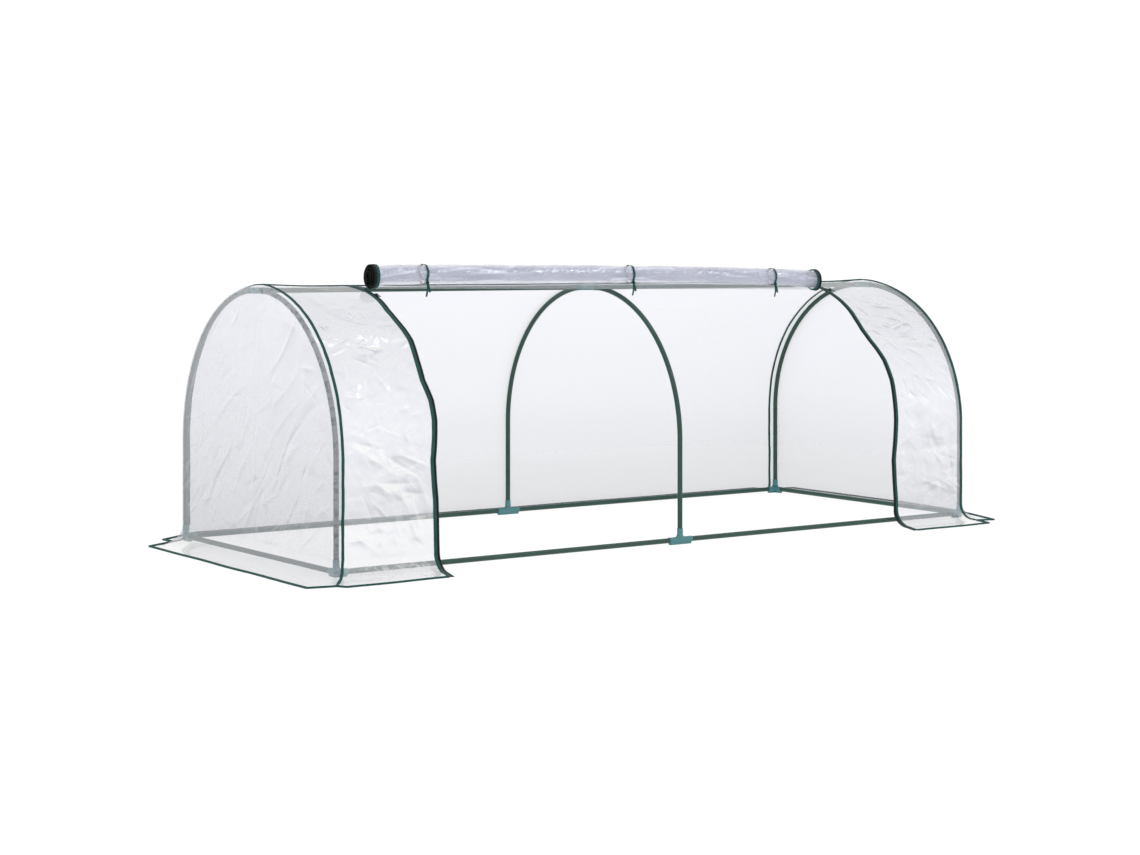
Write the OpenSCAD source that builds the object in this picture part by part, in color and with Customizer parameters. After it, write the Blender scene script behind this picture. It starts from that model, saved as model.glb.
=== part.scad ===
// Tunnel greenhouse: push-fit tube frame, clear film cover with ground skirts,
// roll-up door panel with two zips and three ties.
// Length along X, door side towards -Y, ground at Z = 0. Millimetres.

/* [Frame] */
// Distance between the centres of the two end hoops
frame_l = 2484; // [2100:1:3000]
// Bend radius of the hoops, to the tube centre
bend_r = 480; // [440:1:520]
// Half of the straight crown between the two bends of a hoop
crown_half = 12; // [12:1:30]
// Straight leg, from the base rail centre to the start of the bend
leg_h = 315; // [250:1:450]
// Height of the base rail centre above the ground
rail_z = 14; // [12:0.5:16]

/* [Tubes and connectors] */
// Outer radius of the steel tube
tube_r = 8; // [7:0.25:8]
// Wall of the steel tube
tube_wall = 0.9; // [0.6:0.1:1.5]
// Wall of a connector socket
sock_wall = 1.45; // [1.2:0.05:1.5]
// Clearance between a tube and its socket
sock_clear = 0.05; // [0.02:0.01:0.1]
// Reach of a corner connector arm
corner_arm = 36; // [28:1:50]
// Reach of a base tee arm along the rail
tee_arm = 45; // [30:1:60]
// Reach of a base tee arm up the hoop leg
tee_up = 36; // [28:1:50]
// Reach of a ridge connector arm along the hoop
ridge_arm = 43; // [30:1:60]
// Reach of a ridge connector arm along the ridge
ridge_arm_x = 40; // [30:1:60]
// Fillet web between two arms
web_r = 8; // [4:0.5:12]

/* [Cover] */
// Thickness of a film sheet in this model
film_t = 1.4; // [1.0:0.1:1.6]
// Gap between the tube centre line and the inner face of the film
film_gap = 10; // [9.9:0.1:12]
// Width of a bound seam or hem
bind_w = 8; // [6:0.5:12]
// Thickness of a bound seam
bind_t = 1.2; // [0.8:0.1:1.6]

/* [Ground skirt] */
// Radius of the curve from the wall into the skirt
skirt_r = 40; // [25:1:60]
// Skirt reach past the film wall, front and rear
skirt_y = 142; // [110:1:200]
// Skirt reach past the film wall, at the ends
skirt_x = 142; // [110:1:200]

/* [Door] */
// Half width of the door opening, to the zip teeth
door_half = 925; // [800:1:940]
// Radius of the rolled door
roll_r = 37; // [30:0.5:38]
// Angle of the roll's left end in front of the crown
roll_a_left = 11; // [10:0.5:14]
// Angle of the roll's right end in front of the crown
roll_a_right = 19; // [14:0.5:20]
// Left end of the roll, from the middle hoop
roll_x_left = 915; // [780:1:915]
// Right end of the roll, from the middle hoop
roll_x_right = 845; // [780:1:900]
// Tie positions along the roll
tie_x = [-720, 55, 648];
// Length of a tie tail
tail_l = 44; // [20:1:46]

/* [Zips] */
// Angle of the parked slider in front of the crown
slider_a = 19; // [18:0.5:30]
// Length of the pull tab
pull_l = 22; // [14:1:30]

/* [Hidden] */

hl = frame_l / 2;                 // end hoop centre
rail_y = bend_r + crown_half;     // base rail centre
arc_z = rail_z + leg_h;           // bend centre height
top_z = arc_z + bend_r;           // ridge tube centre
stop = 11;                        // tube end stop inside a connector
bore_r = tube_r + sock_clear;
sock_r = bore_r + sock_wall;
film_i = bend_r + film_gap;       // inner radius of the film
film_o = film_i + film_t;
film_z = 0.6;                     // underside of the film on the ground
wall_y = crown_half + film_o;     // outer face of the film wall, front and rear
wall_x = hl + film_gap + film_t;  // outer face of an end panel
hem_y = wall_y + skirt_y;
hem_x = wall_x + skirt_x;
seam_x = hl - 10;                 // centre of an end seam
corner_out = 48;                  // how far a front or rear skirt runs past its wall corner
edge_x = door_half + 18;          // film edge beside the door
roll_c = film_o + bind_t + 2.6 + roll_r; // roll end centres from the bend centre
roll_p = [-roll_x_left, -crown_half - roll_c * sin(roll_a_left), arc_z + roll_c * cos(roll_a_left)];
roll_q = [roll_x_right, -crown_half - roll_c * sin(roll_a_right), arc_z + roll_c * cos(roll_a_right)];
roll_d = roll_q - roll_p;
roll_len = norm(roll_d);
steel = [0.17, 0.31, 0.27];
teal = [0.35, 0.60, 0.62];
film = [0.90, 0.92, 0.95, 0.35];
green = [0.08, 0.33, 0.27];
black = [0.05, 0.05, 0.06];
metal = [0.55, 0.56, 0.58];

// ---- helpers ----
module mirror_y(s) { if (s < 0) mirror([0, 1, 0]) children(); else children(); }
module mirror_x(s) { if (s < 0) mirror([1, 0, 0]) children(); else children(); }
module along_x() { rotate([90, 0, 90]) children(); }       // (x, y, z) becomes (Y, Z, X)

// straight round bar from a to a + len along +X, +Y or +Z
module bar_x(a, len, r) { translate([a, 0, 0]) rotate([0, 90, 0]) cylinder(h = len, r = r, $fn = 48); }
module bar_y(a, len, r) { translate([0, a, 0]) rotate([-90, 0, 0]) cylinder(h = len, r = r, $fn = 48); }
module bar_z(a, len, r) { translate([0, 0, a]) cylinder(h = len, r = r, $fn = 48); }

// part of the rear hoop bend, from angle a0 to a0 + da above the +Y direction
module bend_part(a0, da, r) {
  translate([0, crown_half, arc_z]) along_x() rotate([0, 0, a0])
    rotate_extrude(angle = da, $fn = 96) translate([bend_r, 0]) circle(r = r, $fn = 32);
}

// ---- tubes ----
module half_hoop_solid(r, over) {
  translate([0, rail_y, rail_z]) bar_z(stop - over, leg_h - stop + over, r);
  bend_part(0, 90, r);
  translate([0, 0, top_z]) bar_y(stop - over, crown_half - stop + over, r);
}
module half_hoop(x, s) {
  color(steel) mirror_y(s) translate([x, 0, 0]) difference() {
    half_hoop_solid(tube_r, 0);
    half_hoop_solid(tube_r - tube_wall, 2);
  }
}
module tube_x(x0, x1, y, z) {
  color(steel) translate([0, y, z]) difference() {
    bar_x(x0, x1 - x0, tube_r);
    bar_x(x0 - 2, x1 - x0 + 4, tube_r - tube_wall);
  }
}
module tube_y(x) {
  color(steel) translate([x, 0, rail_z]) difference() {
    bar_y(-rail_y + stop, 2 * (rail_y - stop), tube_r);
    bar_y(-rail_y + stop - 2, 2 * (rail_y - stop) + 4, tube_r - tube_wall);
  }
}

// ---- connectors ----
// concave web in the corner between the local +X and +Y arms
module web() {
  o = sock_r - 1.4;
  translate([o, o, 0]) linear_extrude(height = 13, center = true) difference() {
    translate([-2, -2]) square([web_r + 2, web_r + 2]);
    translate([web_r, web_r]) circle(r = web_r, $fn = 48);
  }
}
module corner(sx, sy) {
  color(teal) mirror_x(sx) mirror_y(sy) translate([hl, rail_y, rail_z]) difference() {
    union() {
      sphere(r = sock_r, $fn = 48);
      bar_x(-corner_arm, corner_arm, sock_r);
      bar_y(-corner_arm, corner_arm, sock_r);
      bar_z(0, corner_arm, sock_r);
      rotate([0, 0, 180]) web();
      rotate([0, -90, 0]) web_flip();
      rotate([90, 0, 0]) rotate([0, 0, 90]) web();
      translate([-corner_arm + 3, -6, -rail_z]) cube([corner_arm + 3, 12, rail_z - 5]);
      translate([-6, -corner_arm + 3, -rail_z]) cube([12, corner_arm + 3, rail_z - 5]);
    }
    bar_x(-corner_arm - 1, corner_arm + 1 - stop, bore_r);
    bar_y(-corner_arm - 1, corner_arm + 1 - stop, bore_r);
    bar_z(stop, corner_arm + 1 - stop, bore_r);
  }
}
// web between the local +X and -Y arms
module web_flip() { mirror([0, 1, 0]) web(); }
module base_tee(s) {
  color(teal) mirror_y(s) translate([0, rail_y, rail_z]) difference() {
    union() {
      bar_x(-tee_arm, 2 * tee_arm, sock_r);
      bar_z(0, tee_up, sock_r);
      rotate([90, 0, 0]) web();
      mirror([1, 0, 0]) rotate([90, 0, 0]) web();
      translate([-tee_arm + 4, -6, -rail_z]) cube([2 * tee_arm - 8, 12, rail_z - 5]);
    }
    bar_x(-tee_arm - 1, tee_arm + 1 - stop, bore_r);
    bar_x(stop, tee_arm + 1 - stop, bore_r);
    bar_z(stop, tee_up + 1 - stop, bore_r);
  }
}
module ridge_arms(r, from, over) {
  da = (ridge_arm - crown_half) / bend_r * 180 / PI + over;
  for (s = [-1, 1]) mirror_y(s) {
    translate([0, 0, top_z]) bar_y(from, crown_half - from, r);
    bend_part(90 - da, da, r);
  }
}
module ridge_joint(x, sides) {
  color(teal) translate([x, 0, 0]) difference() {
    union() {
      ridge_arms(sock_r, 0, 0);
      for (s = sides) mirror_x(s) translate([0, 0, top_z]) {
        bar_x(0, ridge_arm_x, sock_r);
        web();
        web_flip();
      }
    }
    ridge_arms(bore_r, stop, 0.2);
    for (s = sides) mirror_x(s) translate([0, 0, top_z]) bar_x(stop, ridge_arm_x + 1 - stop, bore_r);
  }
}

// ---- film ----
function arc_pts(cy, cz, r, a0, a1, n) = [for (i = [0:n]) let (a = a0 + (a1 - a0) * i / n) [cy + r * cos(a), cz + r * sin(a)]];
function rev(p) = [for (i = [len(p) - 1:-1:0]) p[i]];
// one face of the rear side from the start angle a0 down to the hem; d is the distance outside the film's inner face
function side_face(d, a0, y_end) = concat(
  arc_pts(crown_half, arc_z, film_i + d, a0, 0, 36),
  arc_pts(wall_y + skirt_r, film_z + film_t + skirt_r, skirt_r + film_t - d, 180, 270, 10),
  [[y_end, film_z + d]]);
// closed profile between the two faces at d0 and d1, starting at the crown line or at an angle
function side_profile(d0, d1, a0, y_end, crown) = concat(
  crown ? [[0, arc_z + film_i + d0]] : [], side_face(d0, a0, y_end),
  rev(side_face(d1, a0, y_end)), crown ? [[0, arc_z + film_i + d1]] : []);
module side_strip(s, x0, x1, d0, d1, a0, y_end, crown) {
  mirror_y(s) translate([x0, 0, 0]) along_x() linear_extrude(height = x1 - x0)
    polygon(side_profile(d0, d1, a0, y_end, crown));
}
// plan outline of a film side: straight wall, then a skirt that widens past its outer corner
module plan(x0, x1, w0, w1) {
  linear_extrude(height = 2000) polygon([[x0, -1], [x1, -1], [x1, wall_y + 4], [x1 + w1, hem_y + 1], [x0 - w0, hem_y + 1], [x0, wall_y + 4]]);
}
module cover_side(s, x0, x1, w0, w1) {
  color(film) intersection() {
    side_strip(s, x0 - w0, x1 + w1, 0, film_t, 90, hem_y - bind_w - 0.2, true);
    mirror_y(s) plan(x0, x1, w0, w1);
  }
}
module cover_rear() { cover_side(1, -seam_x + 0.5, seam_x - 0.5, corner_out, corner_out); }
module cover_front_left() { cover_side(-1, -seam_x + 0.5, -edge_x, corner_out, 0); }
module cover_front_right() { cover_side(-1, edge_x, seam_x - 0.5, 0, corner_out); }

function arch_pts(r, z0) = concat([[crown_half + r, z0]], arc_pts(crown_half, arc_z, r, 0, 90, 36), arc_pts(-crown_half, arc_z, r, 90, 180, 36), [[-crown_half - r, z0]]);
module arch(x0, x1, r0, r1, z0) {
  translate([x0, 0, 0]) along_x() linear_extrude(height = x1 - x0) polygon(concat(arch_pts(r1, z0), rev(arch_pts(r0, z0))));
}
end_z = film_z + film_t + skirt_r;
function end_skirt_pts(d) = concat(arc_pts(wall_x + skirt_r, end_z, skirt_r + film_t - d, 180, 270, 10), [[hem_x - bind_w - 0.2, film_z + d]]);
module end_panel(s) {
  color(film) mirror_x(s) {
    translate([wall_x - film_t, 0, 0]) along_x() linear_extrude(height = film_t) polygon(arch_pts(film_o, end_z));
    arch(seam_x + 0.5, wall_x - film_t + 0.1, film_i, film_o, end_z);
    intersection() {
      translate([0, 700, 0]) rotate([90, 0, 0]) linear_extrude(height = 1400) polygon(concat(end_skirt_pts(0), rev(end_skirt_pts(film_t))));
      linear_extrude(height = 200) polygon([[wall_x - 3, -wall_y + 2], [wall_x - 3, wall_y - 2], [wall_x + 1, wall_y - 2], [hem_x + 1, wall_y + 96], [hem_x + 1, -wall_y - 96], [wall_x + 1, -wall_y + 2]]);
    }
  }
}
module ridge_seam() {
  color(green) translate([-seam_x + bind_w / 2 + 0.3, -bind_w / 2, arc_z + film_o + 0.1]) cube([2 * seam_x - bind_w - 0.6, bind_w, bind_t]);
}
module end_seam(s) {
  color(green) mirror_x(s) for (k = [-1, 1])
    side_strip(k, seam_x - bind_w / 2, seam_x + bind_w / 2, film_t + 0.1, film_t + 0.1 + bind_t, 90, hem_y - bind_w - 0.4, true);
}
module hem_long(s, x0, x1) {
  color(green) mirror_y(s) translate([x0, hem_y - bind_w, 0]) cube([x1 - x0, bind_w, 2.6]);
}
module hem_end(s) {
  color(green) mirror_x(s) translate([hem_x - bind_w, -wall_y - 94, 0]) cube([bind_w, 2 * (wall_y + 94), 2.6]);
}
module door_edge_binding(s) {
  color(green) mirror_x(s) side_strip(-1, door_half + 8.2, edge_x - 0.2, -0.2, film_t + 0.4, 88.5, hem_y - bind_w - 0.2, false);
}
module zip_tape(s) {
  color(black) mirror_x(s) side_strip(-1, door_half, door_half + 8, 0, film_t, 88.5, hem_y, false);
}

// ---- door ----
// places its children on the front bend at angle a in front of the crown, +Z outwards, +Y up the slope
module on_front(a, r) { translate([0, -crown_half, arc_z]) rotate([a, 0, 0]) translate([0, 0, r]) children(); }
// places its children on the axis of the roll, at a distance along it from the left end
module on_roll(t) {
  translate(roll_p) rotate([0, -asin(roll_d[2] / roll_len), atan2(roll_d[1], roll_d[0])]) translate([t, 0, 0]) children();
}
module door_flap() {
  ya = -crown_half - film_i * sin(roll_a_left - 1);
  yb = -crown_half - film_i * sin(roll_a_right - 1);
  color(film) intersection() {
    translate([-door_half + 3.2, 0, 0]) along_x() linear_extrude(height = 2 * door_half - 6.4)
      polygon(concat(arc_pts(-crown_half, arc_z, film_i, 89.2, 90 + roll_a_right, 12), rev(arc_pts(-crown_half, arc_z, film_o, 89.2, 90 + roll_a_right, 12))));
    linear_extrude(height = 2000) polygon([[-door_half, 0], [door_half, 0], [door_half, yb], [roll_x_right, yb], [-roll_x_left, ya], [-door_half, ya]]);
  }
}
module door_roll() { color(film) on_roll(14) bar_x(0, roll_len - 28, roll_r); }
module door_zip(s) { color(s < 0 ? black : film) on_roll(s < 0 ? 0 : roll_len - 13.9) bar_x(0, 13.9, roll_r); }
module tie(x) {
  color(green) on_roll((x + roll_x_left) / roll_d[0] * roll_len) {
    difference() {
      bar_x(-bind_w / 2, bind_w, roll_r + 1.1);
      bar_x(-bind_w, 2 * bind_w, roll_r + 0.1);
    }
    translate([0, -roll_r * 0.62, -roll_r * 0.785 - 4.6]) {
      translate([0, -2, 0]) rotate([0, 90, 0]) cylinder(h = 9, r = 4.6, center = true, $fn = 32);
      for (k = [-1, 1]) rotate([0, 9 * k, 0]) translate([-2.5, -2, -tail_l - (k < 0 ? 0 : 4)]) cube([5, 1.2, tail_l + 2]);
    }
  }
}

// ---- zip sliders ----
module slider(s) {
  color(metal) mirror_x(s) {
    // plates above and below the tape, joined by the wedge beside the teeth
    translate([0, -crown_half, arc_z]) along_x() rotate([0, 0, 90 + slider_a - 0.9])
      rotate_extrude(angle = 1.8, $fn = 96) {
        translate([film_i - 2, door_half - 7]) square([1.4, 13]);
        translate([film_o + 0.8, door_half - 7]) square([1.6, 13]);
        translate([film_i - 1.2, door_half - 3]) square([film_t + 2.6, 2.2]);
      }
    on_front(slider_a, film_o) for (x = [door_half - 4.6, door_half + 2.2])
      translate([x, -2.2, 1.9]) cube([1.4, 4.4, 4.4]);
    on_front(slider_a, film_o + 4.6) bar_x(door_half - 4.4, 7.8, 0.8);
  }
}
module pull(s) {
  color(metal) mirror_x(s) on_front(slider_a, film_o + 4.6) difference() {
    union() {
      bar_x(door_half - 2.9, 4.8, 1.6);
      translate([door_half - 2.9, -pull_l, -0.6]) cube([4.8, pull_l, 1.2]);
      translate([door_half - 0.5, -pull_l, -0.6]) cylinder(h = 1.2, r = 3.4, $fn = 32);
    }
    bar_x(door_half - 4, 8, 0.9);
    translate([door_half - 0.5, -pull_l, -2]) cylinder(h = 4, r = 1.6, $fn = 32);
  }
}

half_hoop(-hl, -1);  // hoop_left_front
half_hoop(-hl, 1);  // hoop_left_rear
half_hoop(0, -1);  // hoop_mid_front
half_hoop(0, 1);  // hoop_mid_rear
half_hoop(hl, -1);  // hoop_right_front
half_hoop(hl, 1);  // hoop_right_rear
tube_x(-hl + stop, -stop, 0, top_z);  // ridge_tube_left
tube_x(stop, hl - stop, 0, top_z);  // ridge_tube_right
tube_x(-hl + stop, -stop, -rail_y, rail_z);  // rail_front_left
tube_x(stop, hl - stop, -rail_y, rail_z);  // rail_front_right
tube_x(-hl + stop, -stop, rail_y, rail_z);  // rail_rear_left
tube_x(stop, hl - stop, rail_y, rail_z);  // rail_rear_right
tube_y(-hl);  // rail_end_left
tube_y(hl);  // rail_end_right
corner(-1, -1);  // corner_front_left
corner(1, -1);  // corner_front_right
corner(-1, 1);  // corner_rear_left
corner(1, 1);  // corner_rear_right
base_tee(-1);  // base_tee_front
base_tee(1);  // base_tee_rear
ridge_joint(-hl, [1]);  // ridge_tee_left
ridge_joint(0, [-1, 1]);  // ridge_cross_mid
ridge_joint(hl, [-1]);  // ridge_tee_right
cover_rear();
cover_front_left();
cover_front_right();
end_panel(-1);  // end_panel_left
end_panel(1);  // end_panel_right
ridge_seam();
end_seam(-1);  // end_seam_left
end_seam(1);  // end_seam_right
hem_long(1, -seam_x - corner_out, seam_x + corner_out);  // hem_rear
hem_long(-1, -seam_x - corner_out, -door_half - 8.2);  // hem_front_left
hem_long(-1, door_half + 8.2, seam_x + corner_out);  // hem_front_right
hem_end(-1);  // hem_end_left
hem_end(1);  // hem_end_right
door_edge_binding(-1);  // door_edge_binding_left
door_edge_binding(1);  // door_edge_binding_right
zip_tape(-1);  // zip_tape_left
zip_tape(1);  // zip_tape_right
door_flap();
door_roll();
door_zip(-1);  // door_zip_left
door_zip(1);  // door_zip_right
tie(tie_x[0]);  // tie_left
tie(tie_x[1]);  // tie_mid
tie(tie_x[2]);  // tie_right
slider(-1);  // zip_slider_left
slider(1);  // zip_slider_right
pull(-1);  // zip_pull_left
pull(1);  // zip_pull_right
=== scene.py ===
import math

import bpy
import numpy as np
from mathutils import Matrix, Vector


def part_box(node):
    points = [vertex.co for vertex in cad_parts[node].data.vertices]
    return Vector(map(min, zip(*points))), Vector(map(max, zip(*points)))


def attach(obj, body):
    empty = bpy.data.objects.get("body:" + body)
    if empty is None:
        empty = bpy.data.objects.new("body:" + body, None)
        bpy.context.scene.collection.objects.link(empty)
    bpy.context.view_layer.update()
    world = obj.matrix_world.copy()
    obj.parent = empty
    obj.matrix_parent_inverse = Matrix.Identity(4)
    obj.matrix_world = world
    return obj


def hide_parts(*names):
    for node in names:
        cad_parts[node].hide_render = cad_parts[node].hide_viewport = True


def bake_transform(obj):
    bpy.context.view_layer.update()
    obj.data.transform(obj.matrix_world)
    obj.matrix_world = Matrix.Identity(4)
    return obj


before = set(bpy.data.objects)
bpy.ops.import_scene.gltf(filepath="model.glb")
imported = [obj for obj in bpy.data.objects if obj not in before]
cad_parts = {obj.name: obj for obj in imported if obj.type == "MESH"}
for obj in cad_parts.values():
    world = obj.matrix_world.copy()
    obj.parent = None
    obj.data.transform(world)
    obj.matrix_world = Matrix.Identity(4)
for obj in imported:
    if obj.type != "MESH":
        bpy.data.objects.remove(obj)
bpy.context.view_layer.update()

# ------------------------------------------------------------------ sizes, from the frame
lo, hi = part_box("rail_front_left")
RAIL_Z, RAIL_Y = (lo.z + hi.z) / 2, -(lo.y + hi.y) / 2
lo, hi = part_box("ridge_tube_left")
TOP_Z = (lo.z + hi.z) / 2
lo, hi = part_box("rail_end_left")
HL = -(lo.x + hi.x) / 2
CROWN = 0.012
BEND = RAIL_Y - CROWN
ARC_Z = TOP_Z - BEND
RF = BEND + 0.0107            # radius of the film's middle
WALL_Y = CROWN + RF
WALL_X = HL + 0.0107
FILM_Z = 0.0016
DOOR = 0.925
rng_master = np.random.RandomState(7)

# ------------------------------------------------------------------ camera, floor, light
cam_data = bpy.data.cameras.new("camera")
cam = bpy.data.objects.new("camera", cam_data)
bpy.context.scene.collection.objects.link(cam)
cam_data.sensor_width = 36.0
cam_data.lens = 36.0 * 2183.16 / 1140
cam_data.shift_y = -(427.5 - 256.31) / 1140
cam_data.clip_end = 60
cam.location = (-4.2858, -5.9426, 0.9097 + RAIL_Z - 0.011)
cam.rotation_euler = (math.radians(90), 0, -0.6160)
bpy.context.scene.camera = cam
bpy.context.scene.view_settings.view_transform = "Standard"
bpy.context.scene.cycles.transparent_max_bounces = 24


def new_mat(name):
    m = bpy.data.materials.new(name)
    m.use_nodes = True
    nt = m.node_tree
    nt.nodes.clear()
    out = nt.nodes.new("ShaderNodeOutputMaterial")
    bsdf = nt.nodes.new("ShaderNodeBsdfPrincipled")
    nt.links.new(bsdf.outputs[0], out.inputs[0])
    return m, nt, bsdf


def N(nt, kind, **props):
    n = nt.nodes.new(kind)
    for k, v in props.items():
        if k.startswith("in_"):
            key = k[3:].replace("_", " ")
            n.inputs[key].default_value = v
        else:
            setattr(n, k, v)
    return n


def L(nt, a, b):
    nt.links.new(a, b)


def ramp(nt, fac, stops):
    r = nt.nodes.new("ShaderNodeValToRGB")
    while len(r.color_ramp.elements) < len(stops):
        r.color_ramp.elements.new(0.5)
    for e, (p, c) in zip(r.color_ramp.elements, stops):
        e.position = p
        e.color = c if len(c) == 4 else (*c, 1)
    L(nt, fac, r.inputs[0])
    return r


def value_map(nt, fac, a, b, lo_, hi_):
    m = nt.nodes.new("ShaderNodeMapRange")
    m.inputs[1].default_value, m.inputs[2].default_value = a, b
    m.inputs[3].default_value, m.inputs[4].default_value = lo_, hi_
    L(nt, fac, m.inputs[0])
    return m


def bump(nt, height, strength, distance, into, normal=None):
    b = nt.nodes.new("ShaderNodeBump")
    b.inputs["Strength"].default_value = strength
    b.inputs["Distance"].default_value = distance
    L(nt, height, b.inputs["Height"])
    if normal is not None:
        L(nt, normal, b.inputs["Normal"])
    L(nt, b.outputs[0], into)
    return b


# ---- painted steel tube
m_tube, nt, b = new_mat("painted_tube")
co = N(nt, "ShaderNodeTexCoord")
n1 = N(nt, "ShaderNodeTexNoise", in_Scale=38.0, in_Detail=6.0)
L(nt, co.outputs["Object"], n1.inputs["Vector"])
n2 = N(nt, "ShaderNodeTexNoise", in_Scale=900.0, in_Detail=2.0)
L(nt, co.outputs["Object"], n2.inputs["Vector"])
r = ramp(nt, n1.outputs["Fac"], [(0.3, (0.0053, 0.0426, 0.0297)), (0.7, (0.0115, 0.0596, 0.0422))])
L(nt, r.outputs[0], b.inputs["Base Color"])
rr = value_map(nt, n1.outputs["Fac"], 0.3, 0.7, 0.30, 0.42)
L(nt, rr.outputs[0], b.inputs["Roughness"])
b.inputs["Specular IOR Level"].default_value = 0.42
b.inputs["Coat Weight"].default_value = 0.12
b.inputs["Coat Roughness"].default_value = 0.12
b.inputs["IOR"].default_value = 1.5
bump(nt, n2.outputs["Fac"], 0.12, 0.0004, b.inputs["Normal"])

# ---- moulded connector plastic
m_conn, nt, b = new_mat("connector_plastic")
co = N(nt, "ShaderNodeTexCoord")
n1 = N(nt, "ShaderNodeTexNoise", in_Scale=60.0, in_Detail=5.0)
L(nt, co.outputs["Object"], n1.inputs["Vector"])
n2 = N(nt, "ShaderNodeTexNoise", in_Scale=1400.0, in_Detail=3.0)
L(nt, co.outputs["Object"], n2.inputs["Vector"])
r = ramp(nt, n1.outputs["Fac"], [(0.3, (0.050, 0.178, 0.190)), (0.7, (0.068, 0.214, 0.226))])
L(nt, r.outputs[0], b.inputs["Base Color"])
rr = value_map(nt, n1.outputs["Fac"], 0.3, 0.7, 0.42, 0.55)
L(nt, rr.outputs[0], b.inputs["Roughness"])
b.inputs["Subsurface Weight"].default_value = 0.08
b.inputs["Subsurface Radius"].default_value = (0.002, 0.002, 0.002)
bump(nt, n2.outputs["Fac"], 0.25, 0.0003, b.inputs["Normal"])


def film_material(name, base, alpha, rough, wr=1.0, fold_shading=1.0, cloud=1.0, shade_by_height=((0.0, 0.6), (0.8, 1.0)), coat=1.0):
    """Clear film. Its colour carries painted shade and painted highlights worked out from the mesh's folds (a point
    attribute): painted dark on one flank, painted pale and hazy on the crest, up to painted white glints. Where it is
    pressed on a tube (the attribute "press") it is clearer, and a ramp over height paints shade on it, greyer towards
    the ground."""
    m, nt, b = new_mat(name)
    co = N(nt, "ShaderNodeTexCoord")
    big = N(nt, "ShaderNodeTexNoise", in_Scale=4.0, in_Detail=4.0, in_Distortion=0.8)
    L(nt, co.outputs["Object"], big.inputs["Vector"])
    fine = N(nt, "ShaderNodeTexNoise", in_Scale=26.0, in_Detail=5.0, in_Roughness=0.6, in_Distortion=1.2)
    L(nt, co.outputs["Object"], fine.inputs["Vector"])
    at = N(nt, "ShaderNodeAttribute", attribute_name="fold_shading")
    pr = N(nt, "ShaderNodeAttribute", attribute_name="press")
    # painted shade and highlights: the slope of the folds across the light darkens one flank and lightens the other
    sh = value_map(nt, at.outputs["Fac"], -1.0, 1.0, -0.30 * fold_shading, 0.30 * fold_shading)
    cl = value_map(nt, big.outputs["Fac"], 0.3, 0.7, 0.5 - 0.05 * cloud, 0.5 + 0.05 * cloud)
    tot = N(nt, "ShaderNodeMath", operation="ADD")
    L(nt, sh.outputs[0], tot.inputs[0])
    L(nt, cl.outputs[0], tot.inputs[1])
    # the ramp: darker for painted shade, lighter up to white for painted glints; the cloud noise adds random tone
    r = ramp(nt, tot.outputs[0], [(0.0, tuple(c * 0.52 for c in base)), (0.5, base), (0.78, tuple(min(1.0, c * 1.22) for c in base)), (1.0, (1.0, 1.0, 1.0))])
    # painted shade by height: greyer towards the ground
    sx = N(nt, "ShaderNodeSeparateXYZ")
    L(nt, co.outputs["Object"], sx.inputs[0])
    zr_ = value_map(nt, sx.outputs["Z"], 0.0, 0.90, 0.0, 1.0)
    height_shade_ramp = ramp(nt, zr_.outputs[0], [(z_ / 0.9, (f_, f_, f_)) for z_, f_ in shade_by_height])
    dk = N(nt, "ShaderNodeMath", operation="MULTIPLY_ADD")
    L(nt, pr.outputs["Fac"], dk.inputs[0])
    dk.inputs[1].default_value = -0.20
    L(nt, height_shade_ramp.outputs[0], dk.inputs[2])
    tint = N(nt, "ShaderNodeVectorMath", operation="SCALE")
    L(nt, r.outputs[0], tint.inputs[0])
    L(nt, dk.outputs[0], tint.inputs["Scale"])
    L(nt, tint.outputs[0], b.inputs["Base Color"])
    ab = N(nt, "ShaderNodeMath", operation="ABSOLUTE")
    L(nt, at.outputs["Fac"], ab.inputs[0])
    a1 = N(nt, "ShaderNodeMath", operation="MULTIPLY_ADD")
    L(nt, ab.outputs[0], a1.inputs[0])
    a1.inputs[1].default_value = 0.20 * fold_shading
    af = value_map(nt, fine.outputs["Fac"], 0.3, 0.7, alpha - 0.02 * cloud, alpha + 0.02 * cloud)
    L(nt, af.outputs[0], a1.inputs[2])
    a2 = N(nt, "ShaderNodeMath", operation="MULTIPLY_ADD")
    L(nt, pr.outputs["Fac"], a2.inputs[0])
    a2.inputs[1].default_value = -0.13
    L(nt, a1.outputs[0], a2.inputs[2])
    L(nt, a2.outputs[0], b.inputs["Alpha"])
    rr = value_map(nt, fine.outputs["Fac"], 0.3, 0.7, rough * 0.8, rough * 1.4)
    L(nt, rr.outputs[0], b.inputs["Roughness"])
    b.inputs["IOR"].default_value = 1.53
    b.inputs["Coat Weight"].default_value = coat
    b.inputs["Coat Roughness"].default_value = 0.05
    bp = bump(nt, fine.outputs["Fac"], 0.10 * wr, 0.003, b.inputs["Normal"])
    L(nt, bp.outputs[0], b.inputs["Coat Normal"])
    return m


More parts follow.
